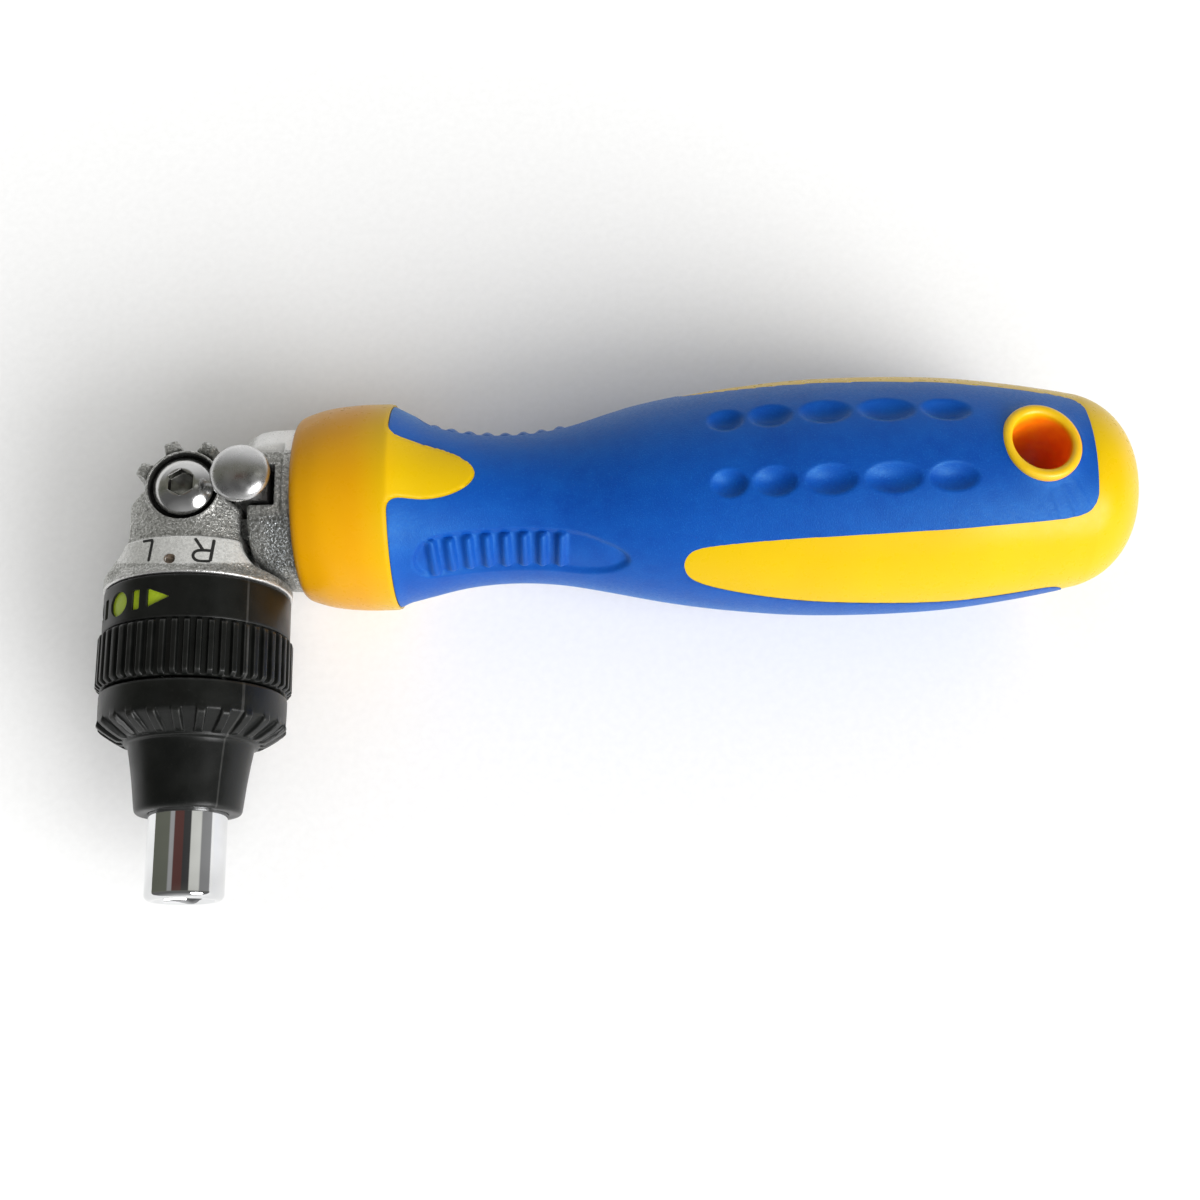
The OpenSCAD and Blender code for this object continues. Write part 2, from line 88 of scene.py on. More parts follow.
def closed_curve(pts, k=8):
    """Closed Catmull-Rom curve through points."""
    p = np.asarray(pts, float)
    out = []
    n = len(p)
    for i in range(n):
        a, b, c, d = p[i - 1], p[i], p[(i + 1) % n], p[(i + 2) % n]
        for j in range(k):
            t = j / k
            out.append(0.5 * ((2 * b) + (-a + c) * t + (2 * a - 5 * b + 4 * c - d) * t * t + (-a + 3 * b - 3 * c + d) * t**3))
    return np.array(out)


def sstep(a, b, x):
    t = np.clip((x - a) / (b - a), 0, 1)
    return t * t * (3 - 2 * t)


def smin(a, b, k):
    h = np.maximum(k - np.abs(a - b), 0) / k
    return np.minimum(a, b) - h * h * k * 0.25


def smax(a, b, k):
    return -smin(-a, -b, k)


def poly_sdf(px, py, pts):
    """Signed distance to a closed polygon, negative inside."""
    shape = px.shape
    px, py = px.ravel(), py.ravel()
    d = np.full(px.shape, 1e9)
    inside = np.zeros(px.shape, bool)
    n = len(pts)
    for i in range(n):
        (ax, ay), (bx, by) = pts[i], pts[(i + 1) % n]
        ex, ey = bx - ax, by - ay
        wx, wy = px - ax, py - ay
        t = np.clip((wx * ex + wy * ey) / (ex * ex + ey * ey + 1e-12), 0, 1)
        d = np.minimum(d, (wx - ex * t) ** 2 + (wy - ey * t) ** 2)
        c = (ay > py) != (by > py)
        with np.errstate(divide="ignore", invalid="ignore"):
            inside ^= c & (px < ex * (py - ay) / (ey if ey != 0 else 1e-12) + ax)
    return (np.sqrt(d) * np.where(inside, -1, 1)).reshape(shape)


def mx(*a):
    out = a[0]
    for b in a[1:]:
        out = np.maximum(out, b)
    return out


def blur(a, sigma, axes):
    for ax in axes:
        r = max(1, int(3 * sigma))
        k = np.exp(-0.5 * (np.arange(-r, r + 1) / sigma) ** 2)
        k /= k.sum()
        pad = [(0, 0)] * a.ndim
        pad[ax] = (r, r)
        p = np.pad(a, pad, mode="edge")
        out = np.zeros_like(a)
        for i, w in enumerate(k):
            sl = [slice(None)] * a.ndim
            sl[ax] = slice(i, i + a.shape[ax])
            out += w * p[tuple(sl)]
        a = out
    return a


# ------------------------------------------------------------------- meshes
def mesh_of(name, verts, groups):
    """A mesh from points in mm and arrays of same-sized polygons."""
    me = bpy.data.meshes.new(name)
    v = np.asarray(verts, np.float32) * MM
    groups = [np.asarray(g, np.int64) for g in groups if len(g)]
    loops = np.concatenate([g.ravel() for g in groups]).astype(np.int32)
    total = np.concatenate([np.full(len(g), g.shape[1]) for g in groups])
    start = np.concatenate([[0], np.cumsum(total)[:-1]]).astype(np.int32)
    me.vertices.add(len(v)); me.vertices.foreach_set("co", v.ravel())
    me.loops.add(len(loops)); me.loops.foreach_set("vertex_index", loops)
    me.polygons.add(len(total)); me.polygons.foreach_set("loop_start", start)
    me.update(calc_edges=True)
    me.validate()
    me.polygons.foreach_set("use_smooth", np.ones(len(me.polygons), bool))
    # faces look outwards when the enclosed volume is positive
    w = v - v.mean(0)
    vol = 0.0
    for g in groups:
        for q in range(1, g.shape[1] - 1):
            a, b, c = w[g[:, 0]], w[g[:, q]], w[g[:, q + 1]]
            vol += float(np.einsum("ij,ij->", a.astype(float), np.cross(b, c)))
    if vol < 0:
        me.flip_normals()
    return me


def piece(name, me, body, material, stands=(), sharp=None):
    o = bpy.data.objects.new(name, me)
    scene.collection.objects.link(o)
    for m in (material if isinstance(material, (list, tuple)) else [material]):
        me.materials.append(m)
    if sharp is not None:
        me.set_sharp_from_angle(angle=math.radians(sharp))
    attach(o, body)
    if stands:
        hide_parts(*stands)
    return o


def join(parts):
    """Points and groups of several meshes as one."""
    v, g, n = [], [], 0
    for pv, pg in parts:
        v.append(np.asarray(pv, float))
        g += [np.asarray(x) + n for x in pg if len(x)]
        n += len(pv)
    return np.concatenate(v), g


def loft(rings, cap0=True, cap1=True, flip=False):
    """Closed rings of the same number of points, joined by quads, with caps."""
    r = np.asarray(rings, float)
    k, n = r.shape[:2]
    v = r.reshape(-1, 3)
    i = np.arange(k - 1)[:, None] * n
    j = np.arange(n)[None, :]
    jn = (j + 1) % n
    q = np.stack([i + j, i + jn, i + n + jn, i + n + j], -1).reshape(-1, 4)
    tris = []
    extra = []
    if cap0:
        c = len(v) + len(extra); extra.append(r[0].mean(0))
        a = np.arange(n)
        tris.append(np.stack([np.full(n, c), (a + 1) % n, a], 1))
    if cap1:
        c = len(v) + len(extra); extra.append(r[-1].mean(0))
        a = np.arange(n) + (k - 1) * n
        tris.append(np.stack([np.full(n, c), a, (np.arange(n) + 1) % n + (k - 1) * n], 1))
    if extra:
        v = np.concatenate([v, np.array(extra)])
    g = [q] + ([np.concatenate(tris)] if tris else [])
    if flip:
        g = [x[:, ::-1] for x in g]
    return v, g


def turn(profile, n, place, cap0=True, cap1=True, flip=False):
    """A lathe. profile is (radius, height); place(x, y, height) gives row points."""
    a = np.arange(n) * 2 * np.pi / n
    rings = []
    for r, z in profile:
        rr = r(a) if callable(r) else np.full(n, r)
        zz = z(a) if callable(z) else np.full(n, z)
        rings.append(np.stack(place(rr * np.cos(a), rr * np.sin(a), zz), -1))
    return loft(rings, cap0, cap1, flip)


def on_pivot(x, y, z):      # height along +Z, about the pivot axis
    return [x, y + PY, z]


def on_lock(x, y, z):
    return [x + 8.3, y + PY + 0.2, z]


def on_head(x, y, s):       # height along the head, from the pivot towards the bit
    return [x, PY - s, y]


def on_handle(y, z, x):     # height along +X, about the handle's axis
    return [x, y + PY, z]


def round_corner(p, r, k=6):
    """Points of an open profile, with its inner corners rounded to radius r[i]."""
    p = [np.array(q, float) for q in p]
    out = [p[0]]
    for i in range(1, len(p) - 1):
        a, b, c = p[i - 1], p[i], p[i + 1]
        u, w = a - b, c - b
        lu, lw = np.linalg.norm(u), np.linalg.norm(w)
        ri = r[i] if isinstance(r, (list, tuple)) else r
        ri = min(ri, lu * 0.48, lw * 0.48)
        if ri <= 0:
            out.append(b); continue
        u, w = u / lu, w / lw
        for j in range(k + 1):
            t = j / k
            out.append((b + u * ri) * (1 - t) ** 2 + 2 * b * t * (1 - t) + (b + w * ri) * t * t)
    out.append(p[-1])
    return [tuple(q) for q in out]


def net(field, lo, h):
    """Surface of a field, negative inside, as a surface net: points and quads."""
    s = field < 0
    cnt = np.zeros(tuple(n - 1 for n in s.shape), np.int8)
    for dx in (0, 1):
        for dy in (0, 1):
            for dz in (0, 1):
                cnt += s[dx:s.shape[0] - 1 + dx, dy:s.shape[1] - 1 + dy, dz:s.shape[2] - 1 + dz]
    mixed = (cnt > 0) & (cnt < 8)
    cells = np.argwhere(mixed)
    idx = np.full(mixed.shape, -1, np.int64)
    idx[mixed] = np.arange(len(cells))
    acc = np.zeros((len(cells), 3)); num = np.zeros(len(cells))
    corners = [(0, 0, 0), (1, 0, 0), (0, 1, 0), (1, 1, 0), (0, 0, 1), (1, 0, 1), (0, 1, 1), (1, 1, 1)]
    val = [field[cells[:, 0] + c[0], cells[:, 1] + c[1], cells[:, 2] + c[2]] for c in corners]
    for a in range(8):
        for b in range(a + 1, 8):
            if sum(abs(p - q) for p, q in zip(corners[a], corners[b])) != 1:
                continue
            fa, fb = val[a], val[b]
            m = (fa < 0) != (fb < 0)
            t = fa[m] / (fa[m] - fb[m])
            acc[m] += np.array(corners[a]) + t[:, None] * (np.array(corners[b]) - np.array(corners[a]))
            num[m] += 1
    v = np.asarray(lo) + h * (cells + acc / num[:, None])
    quads = []
    for ax in range(3):
        a = [slice(1, -1)] * 3; a[ax] = slice(0, -1)
        b = [slice(1, -1)] * 3; b[ax] = slice(1, None)
        sa, sb = s[tuple(a)], s[tuple(b)]
        e = np.argwhere(sa != sb)
        out = sa[sa != sb]
        e = e + 1; e[:, ax] -= 1
        o1, o2 = (ax + 1) % 3, (ax + 2) % 3
        def cell(d1, d2):
            c = e.copy(); c[:, o1] -= d1; c[:, o2] -= d2
            return idx[c[:, 0], c[:, 1], c[:, 2]]
        q = np.stack([cell(1, 1), cell(0, 1), cell(0, 0), cell(1, 0)], 1)
        q[~out] = q[~out][:, ::-1]
        quads.append(q)
    return v, [np.concatenate(quads)]


def axes_of(lo, hi, h):
    return [np.arange(a, b + h, h) for a, b in zip(lo, hi)]


def turned_field(rho, u_axis, prof, du=None):
    """Signed distance to a turned profile. rho is (..., n) without the u axis, prof is (radius, u) points."""
    rmax = float(rho.max()) + 0.2
    rt = np.arange(0, rmax + 0.1, 0.05)
    R, U = np.meshgrid(rt, u_axis, indexing="ij")
    table = poly_sdf(R, U, prof)
    i = np.clip((rho / 0.05).astype(int), 0, len(rt) - 2)
    t = (rho / 0.05 - i)[..., None]
    return table[i] * (1 - t) + table[i + 1] * t


# ---------------------------------------------------------------- materials
class Mat:
    def __init__(self, name):
        self.m = bpy.data.materials.new(name)
        self.m.use_nodes = True
        self.t = self.m.node_tree
        self.b = self.t.nodes["Principled BSDF"]
        self.co = self.t.nodes.new("ShaderNodeTexCoord").outputs["Object"]

    def node(self, kind, **props):
        n = self.t.nodes.new(kind)
        for k, v in props.items():
            setattr(n, k, v)
        return n

    def link(self, a, b):
        self.t.links.new(a, b)

    def put(self, **sockets):
        for k, v in sockets.items():
            s = self.b.inputs[k.replace("_", " ")]
            if isinstance(v, bpy.types.NodeSocket):
                self.link(v, s)
            else:
                s.default_value = v
        return self

    def noise(self, scale, detail=2.0, rough=0.5, stretch=None, distort=0.0):
        co = self.co
        if stretch:
            mp = self.node("ShaderNodeMapping")
            mp.inputs["Scale"].default_value = stretch
            self.link(co, mp.inputs["Vector"]); co = mp.outputs["Vector"]
        n = self.node("ShaderNodeTexNoise")
        n.inputs["Scale"].default_value = scale
        n.inputs["Detail"].default_value = detail
        n.inputs["Roughness"].default_value = rough
        n.inputs["Distortion"].default_value = distort
        self.link(co, n.inputs["Vector"])
        return n.outputs["Fac"]

    def voronoi(self, scale, feature="F1"):
        n = self.node("ShaderNodeTexVoronoi", feature=feature)
        n.inputs["Scale"].default_value = scale
        self.link(self.co, n.inputs["Vector"])
        return n.outputs["Distance"]

    def rng(self, v, a, b, c, d, smooth=False):
        n = self.node("ShaderNodeMapRange")
        if smooth:
            n.interpolation_type = "SMOOTHSTEP"
        for k, x in zip(("From Min", "From Max", "To Min", "To Max"), (a, b, c, d)):
            n.inputs[k].default_value = x
        self.link(v, n.inputs["Value"])
        return n.outputs["Result"]

    def math(self, op, a, b=None):
        n = self.node("ShaderNodeMath", operation=op)
        for i, x in enumerate((a, b)):
            if x is None:
                continue
            if isinstance(x, bpy.types.NodeSocket):
                self.link(x, n.inputs[i])
            else:
                n.inputs[i].default_value = x
        return n.outputs[0]

    def mix(self, f, a, b):
        n = self.node("ShaderNodeMix", data_type="RGBA")
        if isinstance(f, bpy.types.NodeSocket):
            self.link(f, n.inputs["Factor"])
        else:
            n.inputs["Factor"].default_value = f
        for s, x in ((n.inputs[6], a), (n.inputs[7], b)):
            if isinstance(x, bpy.types.NodeSocket):
                self.link(x, s)
            else:
                s.default_value = (*x, 1)
        return n.outputs[2]

    def bump(self, height, dist, strength=1.0, normal=None):
        n = self.node("ShaderNodeBump")
        n.inputs["Strength"].default_value = strength
        n.inputs["Distance"].default_value = dist
        self.link(height, n.inputs["Height"])
        if normal is not None:
            self.link(normal, n.inputs["Normal"])
        return n.outputs["Normal"]

    def xyz(self):
        n = self.node("ShaderNodeSeparateXYZ")
        self.link(self.co, n.inputs[0])
        return n.outputs

    def edges(self, radius):
        """0 on flat ground, towards 1 on convex edges."""
        n = self.node("ShaderNodeNewGeometry")
        return n.outputs["Pointiness"]


def blue_mat():
    k = Mat("blue_grip")
    big = k.noise(55, 2, 0.5)
    mid = k.noise(420, 3, 0.6)
    fine = k.noise(5200, 2, 0.6)
    c = k.mix(k.rng(big, 0.35, 0.65, 0, 1), (0.0010, 0.041, 0.280), (0.0016, 0.053, 0.320))
    c = k.mix(k.rng(mid, 0.3, 0.75, 0, 0.35), c, (0.004, 0.090, 0.40))
    c = k.mix(k.rng(fine, 0.55, 0.8, 0, 0.28), c, (0.022, 0.19, 0.58))
    k.put(Base_Color=c, Roughness=k.rng(k.noise(2600, 2), 0.3, 0.7, 0.40, 0.54))
    k.b.inputs["Specular IOR Level"].default_value = 0.52
    k.b.inputs["Specular Tint"].default_value = (0.32, 0.85, 1.0, 1)
    k.b.inputs["Sheen Weight"].default_value = 0.16
    k.b.inputs["Sheen Roughness"].default_value = 0.4
    k.b.inputs["Sheen Tint"].default_value = (0.12, 0.62, 1.0, 1)
    k.b.inputs["Subsurface Weight"].default_value = 0.04
    k.b.inputs["Subsurface Scale"].default_value = 0.001
    n = k.bump(mid, 0.00003, 0.5)
    n = k.bump(fine, 0.000042, 0.85, n)
    k.put(Normal=n)
    return k.m


def yellow_mat():
    k = Mat("yellow_plastic")
    x = k.xyz()[0]
    big = k.noise(60, 2, 0.5)
    collar = k.math("ADD", x, k.rng(big, 0.3, 0.7, -0.0012, 0.0012))
    front = k.rng(collar, 0.0225, 0.0300, 1, 0, True)
    warm = k.mix(k.rng(big, 0.3, 0.7, 0, 1), (0.59, 0.385, 0.0009), (0.63, 0.420, 0.0013))
    flame = k.mix(k.rng(big, 0.3, 0.7, 0, 1), (0.55, 0.355, 0.0008), (0.59, 0.385, 0.0011))
    warm = k.mix(k.rng(x, 0.045, 0.075, 0, 1), flame, warm)
    amber = k.mix(k.rng(big, 0.3, 0.7, 0, 1), (0.56, 0.245, 0.0008), (0.60, 0.285, 0.0011))
    c = k.mix(front, warm, amber)
    cloud = k.noise(150, 2, 0.5)
    c = k.mix(k.rng(cloud, 0.4, 0.75, 0, 0.14), c, (0.62, 0.33, 0.0014))
    k.put(Base_Color=c, Roughness=k.rng(k.noise(900, 3), 0.3, 0.7, 0.25, 0.36))
    k.b.inputs["Specular IOR Level"].default_value = 0.20
    return k.m


def rim_mat():
    """Rim and wall of the hanging hole: yellow outside; further in, the wall is painted a darker red-orange as painted
    shade.
    """
    k = Mat("yellow_rim")
    x, y, z = k.xyz()
    c, s = math.cos(math.radians(CLOCK)), math.sin(math.radians(CLOCK))
    dy = k.math("SUBTRACT", y, PY * MM)
    depth = k.math("ADD", k.math("MULTIPLY", dy, s), k.math("MULTIPLY", z, c))
    depth = k.math("ABSOLUTE", depth)
    inner = k.rng(depth, 0.0150, 0.0136, 0, 1, True)
    mott = k.noise(600, 3, 0.6)
    warm = k.mix(k.rng(mott, 0.3, 0.7, 0, 1), (0.66, 0.40, 0.002), (0.72, 0.45, 0.003))
    # painted shade: below the rim the hole's wall is painted a darker red-orange
    painted_deep_shade = k.mix(k.rng(mott, 0.3, 0.7, 0, 1), (0.94, 0.19, 0.0030), (0.98, 0.27, 0.004))
    k.put(Base_Color=k.mix(inner, warm, painted_deep_shade), Roughness=k.rng(mott, 0.3, 0.7, 0.30, 0.42))
    k.put(Normal=k.bump(k.noise(2500, 2), 0.00001, 0.5))
    return k.m


def cast_mat(name="cast_metal", base=0.45, grain=1.0, rough=(0.22, 0.48), band=False, neck=False):
    k = Mat(name)
    a = k.noise(3300, 3, 0.62)
    b = k.noise(1700, 2, 0.55)
    v = k.voronoi(2600)
    big = k.noise(130, 3, 0.6)
    lo = k.mix(k.rng(big, 0.3, 0.7, 0, 1), (base * 0.74, base * 0.74, base * 0.70), (base * 0.95, base * 0.95, base * 0.91))
    c = k.mix(k.rng(a, 0.45, 0.66, 0, 0.85), lo, (base * 1.85, base * 1.85, base * 1.80))
    c = k.mix(k.rng(b, 0.54, 0.70, 0, 0.70), c, (base * 0.32, base * 0.32, base * 0.29))
    rg = k.rng(a, 0.3, 0.7, rough[1], rough[0])
    amount = None
    metal = 0.86
    if band:
        x, y, z = k.xyz()
        s = k.math("SUBTRACT", PY * MM, y)
        low = k.math("SUBTRACT", 0.01135, k.math("MULTIPLY", k.math("POWER", k.math("SUBTRACT", x, 0.0008), 2.0), 17.0))
        near = k.rng(k.math("ABSOLUTE", z), 0.0070, 0.0078, 0, 1, True)
        m = k.math("MULTIPLY", k.rng(s, 0.00722, 0.00742, 0, 1, True), k.rng(k.math("SUBTRACT", low, s), -0.0001, 0.0003, 0, 1, True))
        m = k.math("MULTIPLY", m, near)
        soft = k.noise(2600, 3, 0.6)
        ground = k.mix(k.rng(soft, 0.35, 0.7, 0, 1), (0.60, 0.60, 0.585), (0.86, 0.86, 0.84))
        c = k.mix(k.math("MULTIPLY", m, 0.85), c, ground)
        rim = k.rng(s, 0.01215, 0.01232, 0, 1, True)
        c = k.mix(k.math("MULTIPLY", rim, 0.7), c, (0.86, 0.86, 0.85))
        amount = k.math("SUBTRACT", 1.0, k.math("MULTIPLY", m, 0.72))
        amount = k.math("MULTIPLY", amount, k.rng(rim, 0, 1, 1, 0.45))
        metal = k.rng(m, 0, 1, 0.86, 0.50)
        # painted shadow: the counterbore round the screw head is painted near black
        hole = k.math("SQRT", k.math("ADD", k.math("POWER", x, 2.0), k.math("POWER", s, 2.0)))
        counterbore_shadow = k.math("MULTIPLY", k.rng(hole, 0.00478, 0.00462, 0, 1), k.rng(z, 0.0109, 0.01075, 0, 1))
        c = k.mix(counterbore_shadow, c, (0.012, 0.012, 0.011))
    if neck:
        s = k.math("SUBTRACT", k.xyz()[1], PY * MM)
        dark = k.math("MULTIPLY", k.rng(s, -0.0034, -0.0050, 0, 1, True), k.rng(s, -0.0110, -0.0097, 0, 1, True))
        dark = k.math("MULTIPLY", dark, k.rng(k.xyz()[0], 0.0098, 0.0118, 0.45, 1, True))
        shade = k.mix(k.rng(a, 0.50, 0.68, 0, 1), (0.10, 0.105, 0.10), (0.58, 0.63, 0.67))
        c = k.mix(k.math("MULTIPLY", dark, 0.75), c, shade)
        x, y, z = k.xyz()
        # painted highlight: the neck's far shoulder is painted near white, on a smoother, less metallic finish
        far = k.math("MULTIPLY", k.rng(s, 0.0049, 0.0051, 0, 1), k.math("MULTIPLY", k.rng(x, 0.0080, 0.0092, 0, 1, True), k.rng(z, 0.0005, 0.0040, 0, 1, True)))
        c = k.mix(k.math("MULTIPLY", far, 0.85), c, (0.84, 0.84, 0.83))
        amount = k.rng(far, 0, 1, 1, 0.25)
        metal = k.rng(far, 0, 1, 0.86, 0.30)
    k.put(Base_Color=c, Metallic=metal, Roughness=rg)
    h = k.math("ADD", k.math("MULTIPLY", b, 0.9), k.math("MULTIPLY", a, 0.9))
    h = k.math("ADD", h, k.math("MULTIPLY", v, 0.35))
    if amount is not None:
        h = k.math("MULTIPLY", k.math("SUBTRACT", h, 1.05), amount)
    k.put(Normal=k.bump(h, 0.00014 * grain, 0.95))
    return k.m


def steel_mat(name, base, rough, brush=None, tint=(1, 1, 1), bump=0.000004):
    k = Mat(name)
    n1 = k.noise(900, 3, 0.6, brush)
    n2 = k.noise(140, 2, 0.5)
    lo = tuple(base * 0.86 * t for t in tint)
    hi = tuple(min(1, base * 1.08 * t) for t in tint)
    k.put(Base_Color=k.mix(k.rng(n2, 0.3, 0.7, 0, 1), lo, hi), Metallic=1.0,
          Roughness=k.rng(n1, 0.3, 0.7, rough * 0.75, rough * 1.3))
    k.put(Normal=k.bump(n1, bump, 0.6))
    return k.m


def screw_mat():
    """Polished, with a rougher hex socket whose darker colour is painted shade."""
    k = Mat("screw_steel")
    x, y, z = k.xyz()
    r = k.math("SQRT", k.math("ADD", k.math("POWER", x, 2.0), k.math("POWER", k.math("SUBTRACT", y, PY * MM), 2.0)))
    # painted shade: the hex socket is painted dark grey, partly a duller finish, partly painted shade in the recess
    socket_shade = k.math("MULTIPLY", k.rng(r, 0.00200, 0.00192, 0, 1), k.rng(z, 0.01224, 0.01208, 0, 1))
    n1 = k.noise(900, 3, 0.6)
    bright = k.mix(k.rng(k.noise(140, 2), 0.3, 0.7, 0, 1), (0.50, 0.50, 0.50), (0.62, 0.62, 0.61))
    socket_shade_colour = k.mix(k.rng(n1, 0.3, 0.7, 0, 1), (0.13, 0.13, 0.12), (0.24, 0.24, 0.22))
    k.put(Base_Color=k.mix(socket_shade, bright, socket_shade_colour), Metallic=1.0, Roughness=k.math("ADD", k.rng(n1, 0.3, 0.7, 0.13, 0.21), k.math("MULTIPLY", socket_shade, 0.14)))
    k.put(Normal=k.bump(n1, 0.000004, 0.6))
    return k.m


def black_mat(name="black_plastic", lift=1.0):
    k = Mat(name)
    fine = k.noise(4200, 2, 0.6)
    mid = k.noise(300, 3, 0.6)
    pnt = k.rng(k.edges(0), 0.51, 0.58, 0, 1, True)
    c = k.mix(k.rng(mid, 0.3, 0.7, 0, 1), (0.0028 * lift, 0.0032 * lift, 0.0029 * lift), (0.0056 * lift, 0.0062 * lift, 0.0056 * lift))
    c = k.mix(k.rng(fine, 0.62, 0.8, 0, 0.5), c, (0.022, 0.022, 0.021))
    c = k.mix(k.math("MULTIPLY", pnt, k.rng(mid, 0.3, 0.7, 0.25, 0.8)), c, (0.05, 0.05, 0.048))
    k.put(Base_Color=c, Roughness=k.rng(mid, 0.3, 0.7, 0.30, 0.42))
    k.b.inputs["Specular IOR Level"].default_value = 0.30
    n = k.bump(fine, 0.000010, 0.6)
    k.put(Normal=n)
    return k.m


def paint_mat(name, lo, hi, rough=0.42):
    k = Mat(name)
    n = k.noise(2600, 3, 0.6)
    k.put(Base_Color=k.mix(k.rng(n, 0.3, 0.7, 0, 1), lo, hi), Roughness=k.rng(n, 0.3, 0.7, rough * 0.85, rough * 1.15))
    k.put(Normal=k.bump(n, 0.000008, 0.6))
    return k.m


BLUE = blue_mat()
YELLOW = yellow_mat()
RIM = rim_mat()
CAST = cast_mat(grain=1.3)
CAST_HEAD = cast_mat("cast_head", grain=1.3, band=True)
CAST_NECK = cast_mat("cast_neck", grain=1.4, neck=True)
CAST_FINE = cast_mat("cast_ground", 0.62, 0.35, (0.30, 0.42))
POLISHED = steel_mat("polished_steel", 0.60, 0.17)
SCREW = screw_mat()
KNOB = steel_mat("knob_steel", 0.60, 0.28)
TOOL = steel_mat("tool_steel", 0.42, 0.30, (1, 1, 6))
SPRING = steel_mat("spring_steel", 0.36, 0.26)
CHROME = steel_mat("chrome_plate", 0.80, 0.035, None, (0.98, 0.99, 1.0), 0.0000006)
BRONZE = steel_mat("bronze", 0.52, 0.34, None, (1.0, 0.78, 0.42))
MAGNET = steel_mat("magnet", 0.26, 0.36)
BLACK = black_mat()
BLACK_IN = black_mat("black_inner", 1.3)
GREEN = paint_mat("green_paint", (0.29, 0.39, 0.010), (0.36, 0.48, 0.016))
INK = paint_mat("black_ink", (0.006, 0.006, 0.006), (0.016, 0.016, 0.015), 0.5)

DOT = paint_mat("dot_stain", (0.030, 0.022, 0.016), (0.16, 0.12, 0.085), 0.4)

FINISH = {"cast_metal": CAST, "polished_steel": POLISHED, "tool_steel": TOOL, "spring_steel": SPRING,
          "chrome_plate": CHROME, "black_plastic": BLACK, "bronze": BRONZE, "magnet": MAGNET,
          "yellow_plastic": YELLOW, "blue_rubber": BLUE}
for s in frame["record"]["subparts"]:
    o = NODES[s["node"]]
    o.data.materials.clear()
    o.data.materials.append(FINISH[s["material_slot"]])


# --------------------------------------------------------------- the handle
STATIONS = [(27.4, 14.12), (28.84, 13.34), (31.63, 12.24), (34.42, 11.52), (37.22, 11.0), (40.01, 10.71),
            (42.81, 10.60), (45.6, 10.69), (48.39, 10.95), (51.19, 11.37), (53.98, 11.95), (56.78, 12.57),
            (59.57, 13.20), (62.37, 13.80), (65.16, 14.33), (67.95, 14.80), (70.75, 15.21), (73.54, 15.56),
            (76.34, 15.87), (79.13, 16.15), (81.92, 16.36), (84.72, 16.50), (90.3, 16.60), (95.9, 16.55),
            (98.69, 16.46), (101.5, 16.32), (104.3, 16.10), (107.1, 15.80), (109.9, 15.44), (112.7, 15.05),
            (115.45, 14.61), (118.24, 14.12), (121.0, 13.58)]
SX, SR = np.array(STATIONS).T
DENSE = np.arange(27.4, 121.001, 0.05)
SKIN = spline(SX, SR, DENSE)
_p = np.pad(SKIN, 40, mode="reflect", reflect_type="odd")
_k = np.exp(-0.5 * (np.arange(-40, 41) / 14.0) ** 2)
SKIN = np.convolve(_p, _k / _k.sum(), "valid")


def skin_r(x):
    return np.interp(x, DENSE, SKIN)


def yellow_r(x):
    off = np.interp(x, [0, 45, 60, 200], [0.30, 0.30, -0.12, -0.12])
    t = sstep(26.7, 27.9, x)
    return 14.5 * (1 - t) + (skin_r(x) + off) * t


def handle_rows():
    """Rows along the handle's outline: (X, yellow radius, blue radius)."""
    rows = [(18.6, 11.34), (16.5, 11.34), (14.6, 11.34)]
    front = curve2([(14.35, 11.36), (14.2, 11.55), (14.22, 11.9), (14.42, 12.4), (14.95, 12.88), (16.0, 13.32),
                    (17.7, 13.83), (20.4, 14.27), (23.0, 14.47), (24.0, 14.5)], 0.3)
    rows += [tuple(p) for p in front]
    rows = [(x, r, r) for x, r in rows]
    xs = np.concatenate([np.arange(24.3, 27.0, 0.3), np.arange(27.0, 60.0, 0.25), np.arange(60.0, 121.0, 0.3)])
    rows += [(x, float(yellow_r(x)), float(skin_r(max(x, 27.4)))) for x in xs]
    b = float(skin_r(120.9)) - 0.10
    dome = curve2([(118.9, b + 0.38), (120.9, b), (123.5, b - 0.95), (126.0, b - 2.75), (127.9, b - 5.3), (129.05, b - 8.4), (129.5, b - 11.2), (129.6, 0.02)], 0.28)
    rows += [(x, r, r + 0.1) for x, r in dome if x > 121.05]
    return np.array(rows)


